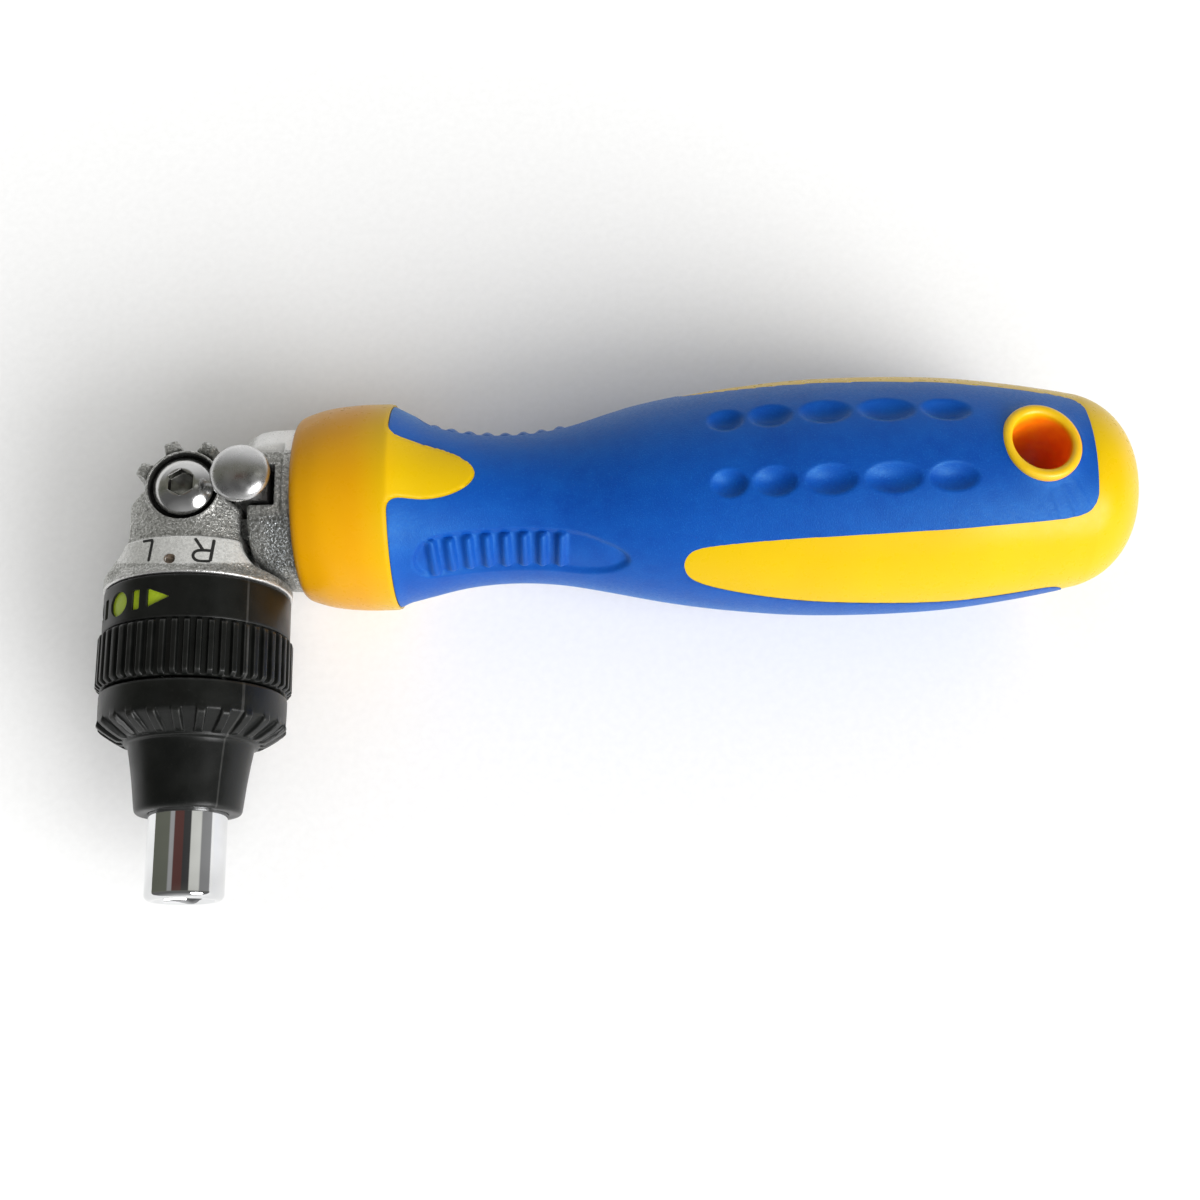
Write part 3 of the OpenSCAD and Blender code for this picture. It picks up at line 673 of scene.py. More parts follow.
def handle_skins():
    rows = handle_rows()
    n_col = 400
    phi = np.arange(n_col) * 360.0 / n_col - 180.0          # from the pattern plane
    X = np.repeat(rows[:, :1], n_col, 1)
    PHI = np.repeat(phi[None], len(rows), 0)
    rs = skin_r(np.clip(rows[:, 0], 27.4, 121))[:, None]
    near = np.where(np.abs(PHI) <= 90, PHI, np.where(PHI > 0, PHI - 180, PHI + 180))
    w0 = rs * np.sin(np.radians(near))                       # across the pattern plane, front and back alike
    rad = np.radians

    # flame-shaped tongues
    flame = closed_curve([(24, -4.6), (27, -4.72), (29.5, -4.4), (32, -4.02), (34.5, -3.42), (36.6, -2.5), (38.1, -1.35),
                          (38.75, 0), (38.1, 1.35), (36.6, 2.5), (34.5, 3.42), (32, 4.02), (29.5, 4.4), (27, 4.72), (24, 4.6)], 6)
    d_flame = poly_sdf(X, rs * rad(near), flame)
    d = smin(X - 27.35, d_flame, 1.9)
    # side panels: outline as (X, angle inside, angle outside), from the pattern plane
    outline = [(66.27, 61.2), (66.5, 57.3), (66.98, 54.2), (67.8, 51.8), (69.2, 50.0), (71.2, 48.6), (73.4, 47.4), (77, 45.9), (82.5, 44.3),
               (91.4, 43.0), (99.5, 42.2), (107.8, 41.3), (116.4, 40.4), (128, 39.4),
               (128, 91.6), (117, 91.6), (106, 91.0), (99.2, 89.4), (92.7, 87.3), (85, 84.9), (80, 82.9), (75.7, 80.7), (71.5, 77.6), (69, 74.9),
               (67.5, 71.9), (66.75, 68.7), (66.38, 64.9)]
    mid = 65.0
    pts = [(x, (a - mid) * math.pi / 180 * float(skin_r(min(x, 121)))) for x, a in outline]
    pts = closed_curve(pts, 5)
    d_pan = np.minimum(poly_sdf(X, rs * rad(PHI - mid), pts), poly_sdf(X, rs * rad(-PHI - mid), pts))
    end = smin(120.85 - X, d_pan, 2.6)
    end = np.where(np.abs(PHI) > 70, smin(119.3 - X, d_pan, 4.5), end)
    d = np.minimum(d, end)
    rho = np.hypot(X - 113.5, w0)

    # blue relief
    disp = np.zeros_like(X)
    for x, a, b in ((72.2, 2.45, 1.95), (78.1, 2.95, 2.05), (85.3, 3.55, 2.1), (93.4, 3.9, 2.1), (101.3, 3.45, 2.0)):
        for sgn in (-1, 1):
            c = 17.6 * sgn
            q = ((X - x) / a) ** 2 + (rs * rad(near - c) / b) ** 2
            g = 1 - q
            disp -= 1.20 * np.where(g > 0.08, g - 0.04, np.clip(g + 0.08, 0, None) ** 2 / 0.64)
    thumb = closed_curve([(30.2, 0), (30.9, 2.0), (32.4, 3.15), (35, 3.5), (41, 3.5), (48, 3.45), (52.5, 3.15), (56, 2.1),
                          (58.3, 0.9), (59.1, -0.4), (58.5, -1.7), (56.3, -3.1), (52.7, -3.75), (48, -3.45), (41, -3.35),
                          (35, -3.3), (32, -3.0), (30.7, -1.8)], 6)
    for sgn in (-1, 1):
        w = rs * rad((59.5 if sgn < 0 else 62.5) - sgn * PHI)     # towards the pattern plane is positive
        dt = poly_sdf(X, w, thumb)
        disp -= 0.55 * sstep(0.25, -0.75, dt)
        disp -= 0.10 * np.exp(-((X - 57.6) / 1.2) ** 2 - ((w + 0.6) / 2.0) ** 2)
        for i, xk in enumerate((32.9, 35.2, 37.6, 40.05, 42.5, 44.95, 47.4, 49.9)):
            half = 3.0 if i == 0 else 2.85
            skew = 0.06 * (4 - i) / 4
            u = (X - xk + skew * w) / 0.88
            ridge = np.where(np.abs(u) < 1, np.cos(np.clip(u, -1, 1) * np.pi / 2) ** 1.05, 0)
            ridge = ridge * np.sqrt(np.clip(1 - np.clip((np.abs(w) - half + 0.75) / 0.75, 0, 1) ** 2, 0, 1))
            disp += (0.80 if sgn < 0 else 0.40) * ridge
    disp += 0.35 * np.exp(-np.clip(rho - 5.4, 0, None) / 0.9) * (rho < 12)
    for a0, b0, a1, b1, h0 in ((117.2, -4.9, 119.6, -8.2, 0.07), (115.9, -5.9, 118.2, -9.6, 0.09), (114.4, -6.6, 115.9, -9.9, 0.06)):
        ex, ew = a1 - a0, b1 - b0
        q = ((X - a0) * ex + (w0 - b0) * ew) / (ex * ex + ew * ew)
        away = np.hypot(X - a0 - np.clip(q, 0, 1) * ex, w0 - b0 - np.clip(q, 0, 1) * ew)
        disp += h0 * np.exp(-(away / 0.32) ** 2)
    edge = np.clip(1 - d / 0.35, 0, 1) ** 2 * (d > 0)
    disp_b = disp - np.where(X > 60, 0.10, 0.02) * edge
    edge_y = np.clip(1 + d / 0.42, 0, 1) ** 1.4 * (d < 0)
    disp_y = -np.where(X < 50, 0.15, 0.02) * edge_y

    def surface(rad_col, dd):
        xr = np.stack([rows[:, 0], rows[:, rad_col]], 1)
        t = np.gradient(xr, axis=0)
        t /= np.linalg.norm(t, axis=1, keepdims=True) + 1e-9
        nx, nr = -t[:, 1:2], t[:, :1]
        al = rad(PHI + CLOCK)
        r = xr[:, 1:2] + nr * dd
        x = xr[:, :1] + nx * dd
        r = r - 0.36 * np.clip(-np.sin(al), 0, 1) ** 1.5 * (1 - sstep(27.5, 30.5, x))
        low = 0.34 * sstep(28.5, 33.0, x) * (1 - sstep(40.0, 62.0, x))      # the throat sits a little lower
        P = np.stack([x, PY - low + r * np.sin(al), r * np.cos(al)], -1)
        N = np.stack([nx + 0 * al, nr * np.sin(al), nr * np.cos(al)], -1)
        return P, N

    Py, Ny = surface(1, disp_y)
    Pb, Nb = surface(2, disp_b)
    blue = clip(np.maximum(-d, 5.3 - rho), Pb, Nb, 1.9)
    yel = clip(d, Py, Ny, 1.9)
    return blue, yel


def clip(f, P, N, depth):
    """The part of a wrapped grid where f is negative, cut smoothly, with a wall along the cut."""
    R, C = f.shape
    base = R * C
    ins = f < 0
    roll = lambda a: np.roll(a, -1, axis=1)
    m1 = ins[:-1] != ins[1:]
    t1 = np.clip(f[:-1] / (f[:-1] - f[1:] + 1e-30), 0.05, 0.95)[m1][:, None]
    idr = np.full((R - 1, C), -1); idr[m1] = base + np.arange(m1.sum())
    p1 = P[:-1][m1] * (1 - t1) + P[1:][m1] * t1
    n1 = N[:-1][m1] * (1 - t1) + N[1:][m1] * t1
    fn = roll(f)
    m2 = ins != roll(ins)
    t2 = np.clip(f / (f - fn + 1e-30), 0.05, 0.95)[m2][:, None]
    idc = np.full((R, C), -1); idc[m2] = base + m1.sum() + np.arange(m2.sum())
    p2 = P[m2] * (1 - t2) + roll(P)[m2] * t2
    n2 = N[m2] * (1 - t2) + roll(N)[m2] * t2
    cross = np.concatenate([p1, p2]); cn = np.concatenate([n1, n2])
    cn /= np.linalg.norm(cn, axis=1, keepdims=True)
    verts = np.concatenate([P.reshape(-1, 3), cross, cross - cn * depth])
    lower = len(cross)
    gi = np.arange(base).reshape(R, C)
    c = [gi[:-1], roll(gi)[:-1], roll(gi)[1:], gi[1:]]
    e = [idc[:-1], roll(idr), idc[1:], idr]
    code = sum((ins_k.astype(int) << k) for k, ins_k in enumerate([ins[:-1], roll(ins)[:-1], roll(ins)[1:], ins[1:]]))
    groups, walls = {}, []
    for mask in range(1, 16):
        sel = code == mask
        if not sel.any():
            continue
        seq, cuts = [], []
        for k in range(4):
            a, b = mask >> k & 1, mask >> ((k + 1) % 4) & 1
            if a:
                seq.append(c[k][sel])
            if a != b:
                seq.append(e[k][sel])
                cuts.append((k, a))
        groups.setdefault(len(seq), []).append(np.stack(seq, 1))
        outs = [k for k, a in cuts if a]
        for k in outs:                      # each way out is followed by the next way in
            j = (k + 1) % 4
            while not any(q == j and not a for q, a in cuts):
                j = (j + 1) % 4
            eo, ei = e[k][sel], e[j][sel]
            walls.append(np.stack([ei, eo, eo + lower, ei + lower], 1))
    polys = [np.concatenate(g) for g in groups.values()] + walls
    used = np.unique(np.concatenate([g.ravel() for g in polys]))
    remap = np.full(len(verts), -1); remap[used] = np.arange(len(used))
    return verts[used], [remap[g] for g in polys]


blue, yel = handle_skins()
# columns run with the angle and rows with X, so the polygons are turned to face outwards
grip = piece("grip", mesh_of("grip", blue[0], [g[:, ::-1] for g in blue[1]]), "handle", BLUE, ["grip_sleeve"], 55)
core = piece("handle_shell", mesh_of("handle_shell", yel[0], [g[:, ::-1] for g in yel[1]]), "handle", YELLOW, ["handle_core"], 55)

# inner body of the handle, under the grip
prof = [(11.3, 18.6), (5.4, 18.7), (11.6, 18.8), (11.9, 27.2)] + [(float(skin_r(x)) - 2.0, x) for x in np.arange(28.5, 107.2, 1.5)]
v, g = turn([p for p in prof if p[0] != 5.4], 96, on_handle)
piece("handle_inner", mesh_of("handle_inner", v, g), "handle", YELLOW, (), 40)

# rim and wall of the hanging hole
def at_hole(x, y, z):
    z = z - 0.150 * x * np.clip(np.abs(z) / 15, 0, 1) * np.sign(z)
    c, s = math.cos(math.radians(CLOCK)), math.sin(math.radians(CLOCK))
    return [x + 113.45, PY + y * c + z * s, -y * s + z * c]


def rim_half(sg):
    pts = [(5.45, 12.6), (5.45, 14.4)]
    pts += [(4.74 + 0.71 * math.cos(t), 14.85 + 0.62 * math.sin(t)) for t in np.linspace(0, math.pi, 17)]
    pts += [(4.0, 14.2), (4.0, 12.0)]
    return pts


top = rim_half(1)
prof = top + [(4.0, z) for z in np.linspace(10, -10, 11)] + [(r, -z) for r, z in reversed(top)]
v, g = turn(prof, 128, at_hole, False, False)
n = 128
k = len(prof)
a = np.arange(n)
g.append(np.stack([(k - 1) * n + a, (k - 1) * n + (a + 1) % n, (a + 1) % n, a], 1))
piece("hole_rim", mesh_of("hole_rim", v, [x[:, ::-1] for x in g]), "handle", RIM)

# ---------------------------------------------------------------- the castings
H = 0.17
OUT = [(-4.6, 0.0), (-5.6, 0.1), (-7.52, 1.65), (-7.66, 2.1), (-7.6, 6.4), (-7.75, 7.2), (-8.1, 7.9), (-8.7, 8.5), (-9.5, 8.95),
       (-10.4, 9.2), (-11.7, 9.45), (-12.6, 9.9), (-14, 10.6), (-14, 14), (14, 14), (14, 11.5), (12.3, 11.2), (10.6, 10.95),
       (9.4, 10.55), (8.5, 9.8), (7.85, 8.85), (7.4, 7.8), (7.2, 6.6), (7.15, 2.8), (6.9, 2.5), (4.6, 1.1)]


def hexd(x, y, af):
    return mx(np.abs(x), np.abs(x * 0.5 + y * 0.8660254), np.abs(x * 0.5 - y * 0.8660254)) - af / 2


def head_casting():
    lo, hi = (-13.2, PY - 12.9, -13.2), (13.2, PY + 6.0, 13.2)
    ax, ay, az = axes_of(lo, hi, H)
    x, y, z = ax[:, None, None], ay[None, :, None], az[None, None, :]
    s = PY - y
    A, B = np.meshgrid(ax, PY - ay, indexing="ij")
    outl = blur(poly_sdf(A, B, OUT) - 0.08, 1.1, (0, 1))[:, :, None]
    rho = np.hypot(ax[:, None], az[None, :])
    band = [(0, 0.1), (11.2, 0.1), (11.3, 7.15), (11.72, 7.32), (11.85, 10.95), (11.92, 11.2), (12.3, 11.9), (12.46, 12.15), (12.46, 12.5), (0, 12.5)]
    side = [(0, 0.1), (11.2, 0.1), (11.3, 7.15), (11.72, 7.32), (11.8, 9.0), (11.88, 9.4), (12.1, 9.9), (12.45, 10.4), (12.6, 10.9), (12.6, 12.5), (0, 12.5)]
    share = sstep(6.4, 8.2, np.abs(az))[None, :, None]        # the ground band lies on the near and far sides
    tab = turned_field(rho, PY - ay, band) * share + turned_field(rho, PY - ay, side) * (1 - share)
    tab = np.moveaxis(tab, 1, 2)
    f = smax(outl, tab, 0.4)
    hyp = np.hypot(x, s)
    boss = smax(hyp - 5.1, np.abs(z) - 11.0, 0.4)
    f = smin(f, boss, 0.5)
    f = smax(f, -smax(np.abs(z - 1.3) - 6.7, s - 6.1, 0.3), 0.3)
    f = smax(f, -smax(hyp - 7.2, np.abs(z - 6.7) - 1.3, 0.1), 0.15)
    f = smax(f, -smax(hyp - 4.70, 9.9 - z, 0.15), 0.2)
    f = smax(f, -(hyp - 2.02 + 0 * z), 0.1)
    f = smax(f, -smax(hexd(x, s, 7.08), z + 7.9, 0.1), 0.15)
    f = smax(f, -smax(np.hypot(x, z) - 3.06, 9.0 - s, 0.1), 0.1)
    f = smax(f, -smax(np.hypot(x + 0.93, s - 10.5) - 0.62, 10.9 - z, 0.05), 0.08)
    f = f.astype(np.float32)
    return net(f, lo, H)


v, g = head_casting()
casting = piece("head_casting", mesh_of("head_casting", v, g), "head", CAST_HEAD, ["head_housing"])


def hub():
    h = 0.2
    lo, hi = (-10.2, PY - 26.6, -10.2), (10.2, PY - 11.0, 10.2)
    ax, ay, az = axes_of(lo, hi, h)
    x, y, z = ax[:, None, None], ay[None, :, None], az[None, None, :]
    s = PY - y
    rho = np.hypot(x, z)
    f = smax(rho - 9.6, np.maximum(11.6 - s, s - 26.2), 0.2)
    f = smax(f, -np.maximum(rho - 3.06, -10.0 + 0 * s), 0.1)
    f = smax(f, -np.maximum(rho - 8.2, 15.5 - s), 0.1)
    f = smax(f, -np.maximum(rho - 8.7, np.abs(s - 24.7) - 0.32), 0.05)
    f = smax(f, -np.maximum(9.12 - rho, np.abs(s - 25.7) - 0.32), 0.05)
    for a in (16.0, 164.0):
        c, q = math.cos(math.radians(a)), math.sin(math.radians(a))
        u, w = x * c + z * q, -x * q + z * c
        f = smax(f, -mx(np.abs(w) - 2.0, 7 - u, np.abs(s - 18.3) - 2.5), 0.1)
    for a in (30.0, 150.0):
        c, q = math.cos(math.radians(a)) * 6.9, math.sin(math.radians(a)) * 6.9
        f = smax(f, -np.maximum(np.hypot(x - c, z - q) - 0.7, 13.6 - s), 0.05)
    a = math.radians(300)
    u, w = x * math.cos(a) + z * math.sin(a), -x * math.sin(a) + z * math.cos(a)
    f = smax(f, -np.maximum(np.hypot(w, s - 14) - 1.0, 4.4 - u), 0.05)
    return net(f.astype(np.float32), lo, h)


v, g = hub()
piece("head_hub", mesh_of("head_hub", v, g), "head", CAST_FINE)


def neck():
    lo, hi = (-6.4, PY - 11.9, -11.9), (19.2, PY + 11.9, 11.9)
    ax, ay, az = axes_of(lo, hi, H)
    x, y, z = ax[:, None, None], (ay - PY)[None, :, None], az[None, None, :]
    prof = [(0, 6.2), (7.2, 6.2), (8.4, 6.4), (9.5, 6.95), (10.4, 7.8), (10.95, 8.9), (11.25, 10.4), (11.3, 12.4), (11.3, 19), (0, 19)]
    rho = np.hypot((ay - PY)[:, None], az[None, :])
    tab = np.moveaxis(turned_field(rho, ax, prof), 2, 0)       # (nx, ny, nz)
    f = smax(tab, smin(np.abs(z) - 10.2, 12.95 - x, 0.3), 0.6)
    hyp = np.hypot(x, y)
    tongue = smax(np.minimum(hyp - 5.8, np.maximum(np.maximum(-x, x - 9.2), np.abs(y) - 5.8)), np.abs(z) - 4.9, 0.35)
    f = smin(f, tongue, 0.4)
    room = np.minimum(hyp - 7.3, np.maximum(np.maximum(-1 - x, x - 8.3), np.maximum(-9 - y, y - 4.4)))
    f = smax(f, -smax(room, 4.9 - np.abs(z), 0.3), 0.45)
    A, B = np.meshgrid(ax, ay - PY, indexing="ij")
    rel = poly_sdf(A, B, [(-8, -5.75), (7.9, -5.75), (8.0, -7.2), (8.3, -8.3), (8.9, -9.2), (9.9, -9.95), (11.2, -10.5),
                          (12.4, -10.85), (13.1, -11), (13.1, -14), (-8, -14)])
    f = smax(f, -blur(rel, 1.5, (0, 1))[:, :, None], 0.5)
    f = smax(f, -(hyp - 2.08 + 0 * z), 0.1)
    slot = mx(np.abs(x - 9.25) - 2.65, np.abs(y - 0.2) - 2.9, 1.8 - z + 0 * x)
    f = smax(f, -slot, 0.25)
    f = smax(f, -mx(4.95 - y, 9.25 - z, x - 13.0), 0.15)
    lk = np.hypot(x - 8.3, y - 0.2)
    f = smax(f, -np.maximum(lk - 1.95, np.abs(z - 0.5) - 4.0), 0.1)
    f = smax(f, -np.maximum(lk - 1.06, z - 0.5), 0.1)
    f = smax(f, -np.maximum(lk - 2.6, z + 5.6), 0.15)
    return net(f.astype(np.float32), lo, H)


v, g = neck()
piece("neck", mesh_of("neck", v, g), "handle", CAST_NECK, ["neck_yoke"])
parts = [turn([(5.5, 18.9), (5.5, 53.6), (5.1, 54)], 64, on_handle)]
for q in range(4):
    c, s = math.cos(q * math.pi / 2), math.sin(q * math.pi / 2)
    box = []
    for xx in (18.95, 49.3):
        for yy, zz in ((-1, 4.6), (1, 4.6), (1, 7.3), (0.8, 7.5), (-0.8, 7.5), (-1, 7.3)):
            box.append((xx, PY + yy * c - zz * s, yy * s + zz * c))
    b = np.array(box).reshape(2, 6, 3)
    parts.append(loft(b, True, True, True))
v, g = join(parts)
piece("neck_shank", mesh_of("neck_shank", v, g), "handle", CAST_FINE, (), 30)


def wheel():
    h = 0.1
    lo, hi = (-7.4, PY - 7.4, 5.1), (7.4, PY + 7.4, 10.5)
    ax, ay, az = axes_of(lo, hi, h)
    pts = []
    for i in range(8):
        c = 19 + 45 * i
        for r, a in ((5.35, c - 13), (7.15, c - 7.8), (7.15, c + 7.8), (5.35, c + 13)):
            pts.append((r * math.cos(math.radians(a)), r * math.sin(math.radians(a))))
    A, B = np.meshgrid(ax, ay - PY, indexing="ij")
    d = blur(poly_sdf(A, B, pts), 1.8, (0, 1))
    z = az[None, None, :]
    f = smax(d[:, :, None], np.abs(z - 6.7) - 1.3, 0.3)
    tall = smax(smax(smax(d, 5.45 - np.hypot(A, B), 0.2), 0.8 - B, 0.2), 2.2 - np.hypot(A - 8.3, B - 0.2), 0.2)[:, :, None]
    f = smin(f, smax(tall, np.abs(z - 7.85) - 2.45, 0.7), 0.1)
    f = smax(f, -(np.hypot(A, B) - 2.0)[:, :, None] + 0 * f, 0.1)
    return net(f.astype(np.float32), lo, h)


v, g = wheel()
piece("index_wheel_cast", mesh_of("index_wheel_cast", v, g), "head", CAST, ["index_wheel"])

# ------------------------------------------------------------ screw and button
def hexr(af, rot=0.0, soft=1.0):
    def r(a):
        q = np.mod(a - rot + math.pi / 6, math.pi / 3) - math.pi / 6
        return (af / 2 / np.cos(q)) * soft
    return r


def mixr(f0, f1, t):
    return lambda a: (f0(a) if callable(f0) else f0) * (1 - t) + (f1(a) if callable(f1) else f1) * t


hx = hexr(3.2, 0.0)
prof = [(1.6, -10.8), (2, -10.4), (2, 9.9), (3.8, 9.9), (3.98, 9.95), (4.05, 10.1), (4.06, 10.4)]
prof += [(4.956 * math.sin(t), 7.744 + 4.956 * math.cos(t)) for t in np.linspace(math.radians(54.7), math.radians(24.2), 22)]
prof += [(1.97, 12.29), (mixr(1.93, hexr(3.5), 0.5), 12.30), (hexr(3.46), 12.31), (hexr(3.36), 12.30), (hx, 12.2), (hx, 12.15), (hx, 11.6),
         (hx, 10.98), (hx, 10.92), (hexr(3.1), 10.88), (hexr(2.9), 10.84), (mixr(hexr(2.2), 1.1, 0.6), 10.6), (0.5, 10.35)]
v, g = turn(prof, 120, on_pivot)
piece("pivot_screw", mesh_of("pivot_screw", v, g), "head", SCREW, ["pivot_bolt"], 24)

prof = [(0.8, -6.9), (0.9, -6.8), (0.9, -6.2), (0.68, -6.2), (0.68, -5.65), (0.9, -5.65), (0.9, 10.9), (1.9, 10.9), (1.9, 13.45), (2.9, 13.5), (3.45, 13.66), (3.8, 13.92)]
prof += [(3.96 * math.cos(t) ** 0.86, 14.2 + 1.90 * math.sin(t) ** 1.12) for t in np.linspace(0.03, math.pi / 2 - 0.02, 40)]
v, g = turn(prof, 128, on_lock)
piece("button", mesh_of("button", v, g), "lock", KNOB, ["lock_button"], 40)


# ------------------------------------------------------------- selector ring
def ring_mesh():
    n_rib, per = 51, 20
    n = n_rib * per
    th = np.arange(n) * 2 * math.pi / n
    # angle 0 is +X and turns towards +Z, as the marks are given
    ph = np.mod(th / (2 * math.pi) * n_rib, 1.0)             # place within a rib's pitch
    q = np.abs(ph - 0.5) * 2                                 # 0 at the rib's middle
    rib = 1 - sstep(0.36, 0.64, q)
    rows = []                                                # (s, radius, rib share)
    def add(s, r, share=0.0):
        rows.append((s, np.full(n, r) + share * 0.66 * rib))
    add(26.2, 9.72); add(26.2, 11.6); add(26.15, 12.05)
    for s, share in ((26.05, 0.06), (25.98, 0.25), (25.8, 0.62), (25.62, 0.9), (25.5, 1.0), (25.2, 1.0)):
        add(s, 12.2, share)
    for s in np.arange(24.9, 19.6, -0.45):
        add(s, 12.2, 1.0)
    for s in (19.45, 19.2, 19.0, 18.85, 18.72):
        add(s, 12.2, float(sstep(18.62, 19.1, np.array(s))))
    add(18.62, 12.2); add(18.55, 12.3); add(18.5, 12.38); add(18.4, 12.42)
    for s in (18.1, 17.75):
        add(s, 12.42)
    for s in np.arange(17.5, 14.0, -0.14):
        add(s, 12.42)
    for s in (13.6, 13.2, 12.95):
        add(s, 12.42)
    add(12.82, 12.38); add(12.72, 12.28); add(12.64, 12.1); add(12.62, 11.7); add(12.62, 9.72); add(20, 9.72); add(25.2, 9.72)
    S = np.array([r[0] for r in rows])[:, None] + np.zeros((1, n))
    Rr = np.array([r[1] for r in rows])
    P = np.stack([Rr * np.cos(th), PY - S, Rr * np.sin(th)], -1)
    deg = np.degrees(th)
    def arc(a):
        return (np.mod(deg - a + 180, 360) - 180) * math.pi / 180 * 12.42
    A = lambda a: arc(a)[None, :] + 0 * S
    dS = S - 15.80
    f = np.full(S.shape, 1e3)
    marks = []
    def add_mark(local):
        marks.append(local)
    add_mark((np.hypot(A(130.4) / 1.80, dS / 1.66) - 1) * 1.7)
    for a in (145.6, 115.0):
        add_mark(smax(np.abs(A(a)) - 0.60, np.abs(dS) - 1.36, 0.25))
    for a, sg in ((106.5, -1), (154, 1)):
        tri = [(0, -1.2), (0, 1.2), (2.95 * sg, 0)]
        add_mark(poly_sdf(A(a), dS, tri) - 0.06)
    outer = (S < 18.05) & (S > 13.0) & (Rr > 12.3)
    for m in marks:
        f = np.minimum(f, m)
    f = np.where(outer, f, 1e3)
    nr = np.stack([np.cos(th) + 0 * S, 0 * S, np.sin(th) + 0 * S], -1)
    body = clip(-f, P, nr, 0.50)
    inlay = clip(f - 0.03, P - 0.34 * nr, nr, 0.12)
    return body, inlay


ring, inlay = ring_mesh()
piece("selector", mesh_of("selector", ring[0], [x[:, ::-1] for x in ring[1]]), "selector", BLACK, ["selector_ring"], 50)
piece("selector_marks", mesh_of("selector_marks", inlay[0], [x[:, ::-1] for x in inlay[1]]), "selector", GREEN, (), 50)


# --------------------------------------------------------------- nose sleeve
def sleeve_mesh():
    n_r, per = 24, 32
    n = n_r * per
    th = (np.arange(n) + 0.5) * 2 * math.pi / n
    ph = np.mod((th - math.radians(3)) / (2 * math.pi) * n_r, 1.0)
    q = np.abs(ph - 0.5) * 2
    def bar(half, r):
        """A rounded ridge of that half width in mm, at radius r."""
        pitch = 2 * math.pi * r / n_r
        return 1 - sstep(2 * half / pitch * 0.72, 2 * half / pitch * 1.18, q)
    prof = [(26.5, 11.25, 0), (26.5, 11.95, 0), (26.56, 12.12, 0), (26.72, 12.26, 0), (27.0, 12.3, 0), (28.5, 12.28, 0), (29.6, 12.25, 0),
            (30.1, 12.22, 0.05), (30.25, 12.2, 0.35), (30.38, 12.15, 0.75), (30.52, 12.05, 1.0), (30.75, 11.77, 1.1), (31.1, 11.29, 1.12),
            (31.45, 10.78, 1.1), (31.8, 10.27, 1.06), (32.15, 9.75, 1.0), (32.4, 9.38, 0.9), (32.58, 9.12, 0.6), (32.7, 8.96, 0.25), (32.8, 8.87, 0.05),
            (32.92, 8.81, 0), (33.06, 8.77, 0), (33.16, 8.68, 0), (33.22, 8.5, 0), (33.3, 8.3, 0), (33.45, 8.2, 0), (34.0, 8.1, 0), (35.2, 7.88, 0),
            (36.4, 7.68, 0), (38.0, 7.44, 0), (39.3, 7.27, 0), (40.6, 7.12, 0), (41.4, 7.02, 0), (41.75, 6.95, 0), (42.0, 6.83, 0), (42.14, 6.66, 0),
            (42.2, 6.4, 0), (42.2, 5.6, 0), (42.1, 5.2, 0), (41.8, 5.13, 0), (31.2, 5.13, 0), (31.0, 5.6, 0), (28.7, 5.6, 0), (28.7, 11.1, 0), (26.5, 11.1, 0)]
    rings = []
    for s, r, k in prof:
        up = 0.50 * k * bar(0.60, r) if k else 0 * th
        # the ridge rises square to the bevel
        rr = r + up * 0.56
        ss = s + up * 0.83
        rings.append(np.stack([rr * np.cos(th), PY - ss, rr * np.sin(th)], -1))
    v, g = loft(rings, False, False)
    return v, g


v, g = sleeve_mesh()
piece("sleeve", mesh_of("sleeve", v, [x[:, ::-1] for x in g]), "spindle", BLACK, ["nose_sleeve"], 50)

# ---------------------------------------------------------------- bit holder
hx = hexr(6.35, 0.0)
prof = [(3.22, 28.5), (5.1, 28.5), (5.1, 40.0), (5.1, 52.55)]
prof += [(4.25 + 0.85 * math.cos(t), 52.55 + 0.85 * math.sin(t)) for t in np.linspace(0.1, math.pi / 2, 9)]
prof += [(4.0, 53.4), (3.9, 53.33), (mixr(3.8, hx, 0.35), 53.1), (mixr(3.7, hx, 0.75), 52.75), (hx, 52.45), (hx, 49.2), (4.15, 49.15), (4.15, 48.4),
         (hx, 48.35), (hx, 39.25), (2.6, 39.2), (2.6, 36.7), (1.5, 36.7)]
v, g = turn(prof, 144, on_head)
piece("holder", mesh_of("holder", v, [x[:, ::-1] for x in g]), "spindle", CHROME, ["bit_holder"], 35)


# ------------------------------------------------- letters on the ground band
def stroke(pts, half, lift=0.035, r_of=lambda s: 11.72 + (s - 7.32) * 0.035):
    """A flat line of ink along points (x, s) on the band's near side."""
    p = curve2(pts, 0.12) if len(pts) > 2 else np.linspace(pts[0], pts[1], 24)
    t = np.gradient(p, axis=0); t /= np.linalg.norm(t, axis=1, keepdims=True)
    nn = np.stack([-t[:, 1], t[:, 0]], 1)
    rings = []
    for i in range(len(p)):
        end = 0.55 if i in (0, len(p) - 1) else 1.0
        ring = []
        for off, up in ((-half, -0.08), (-half * 0.9, lift * 0.7), (0, lift), (half * 0.9, lift * 0.7), (half, -0.08)):
            x, s = p[i] + nn[i] * off * end
            r = r_of(s) + up
            ring.append((x, PY - s, math.sqrt(max(r * r - x * x, 0))))
        rings.append(ring)
    return loft(np.array(rings), True, True)


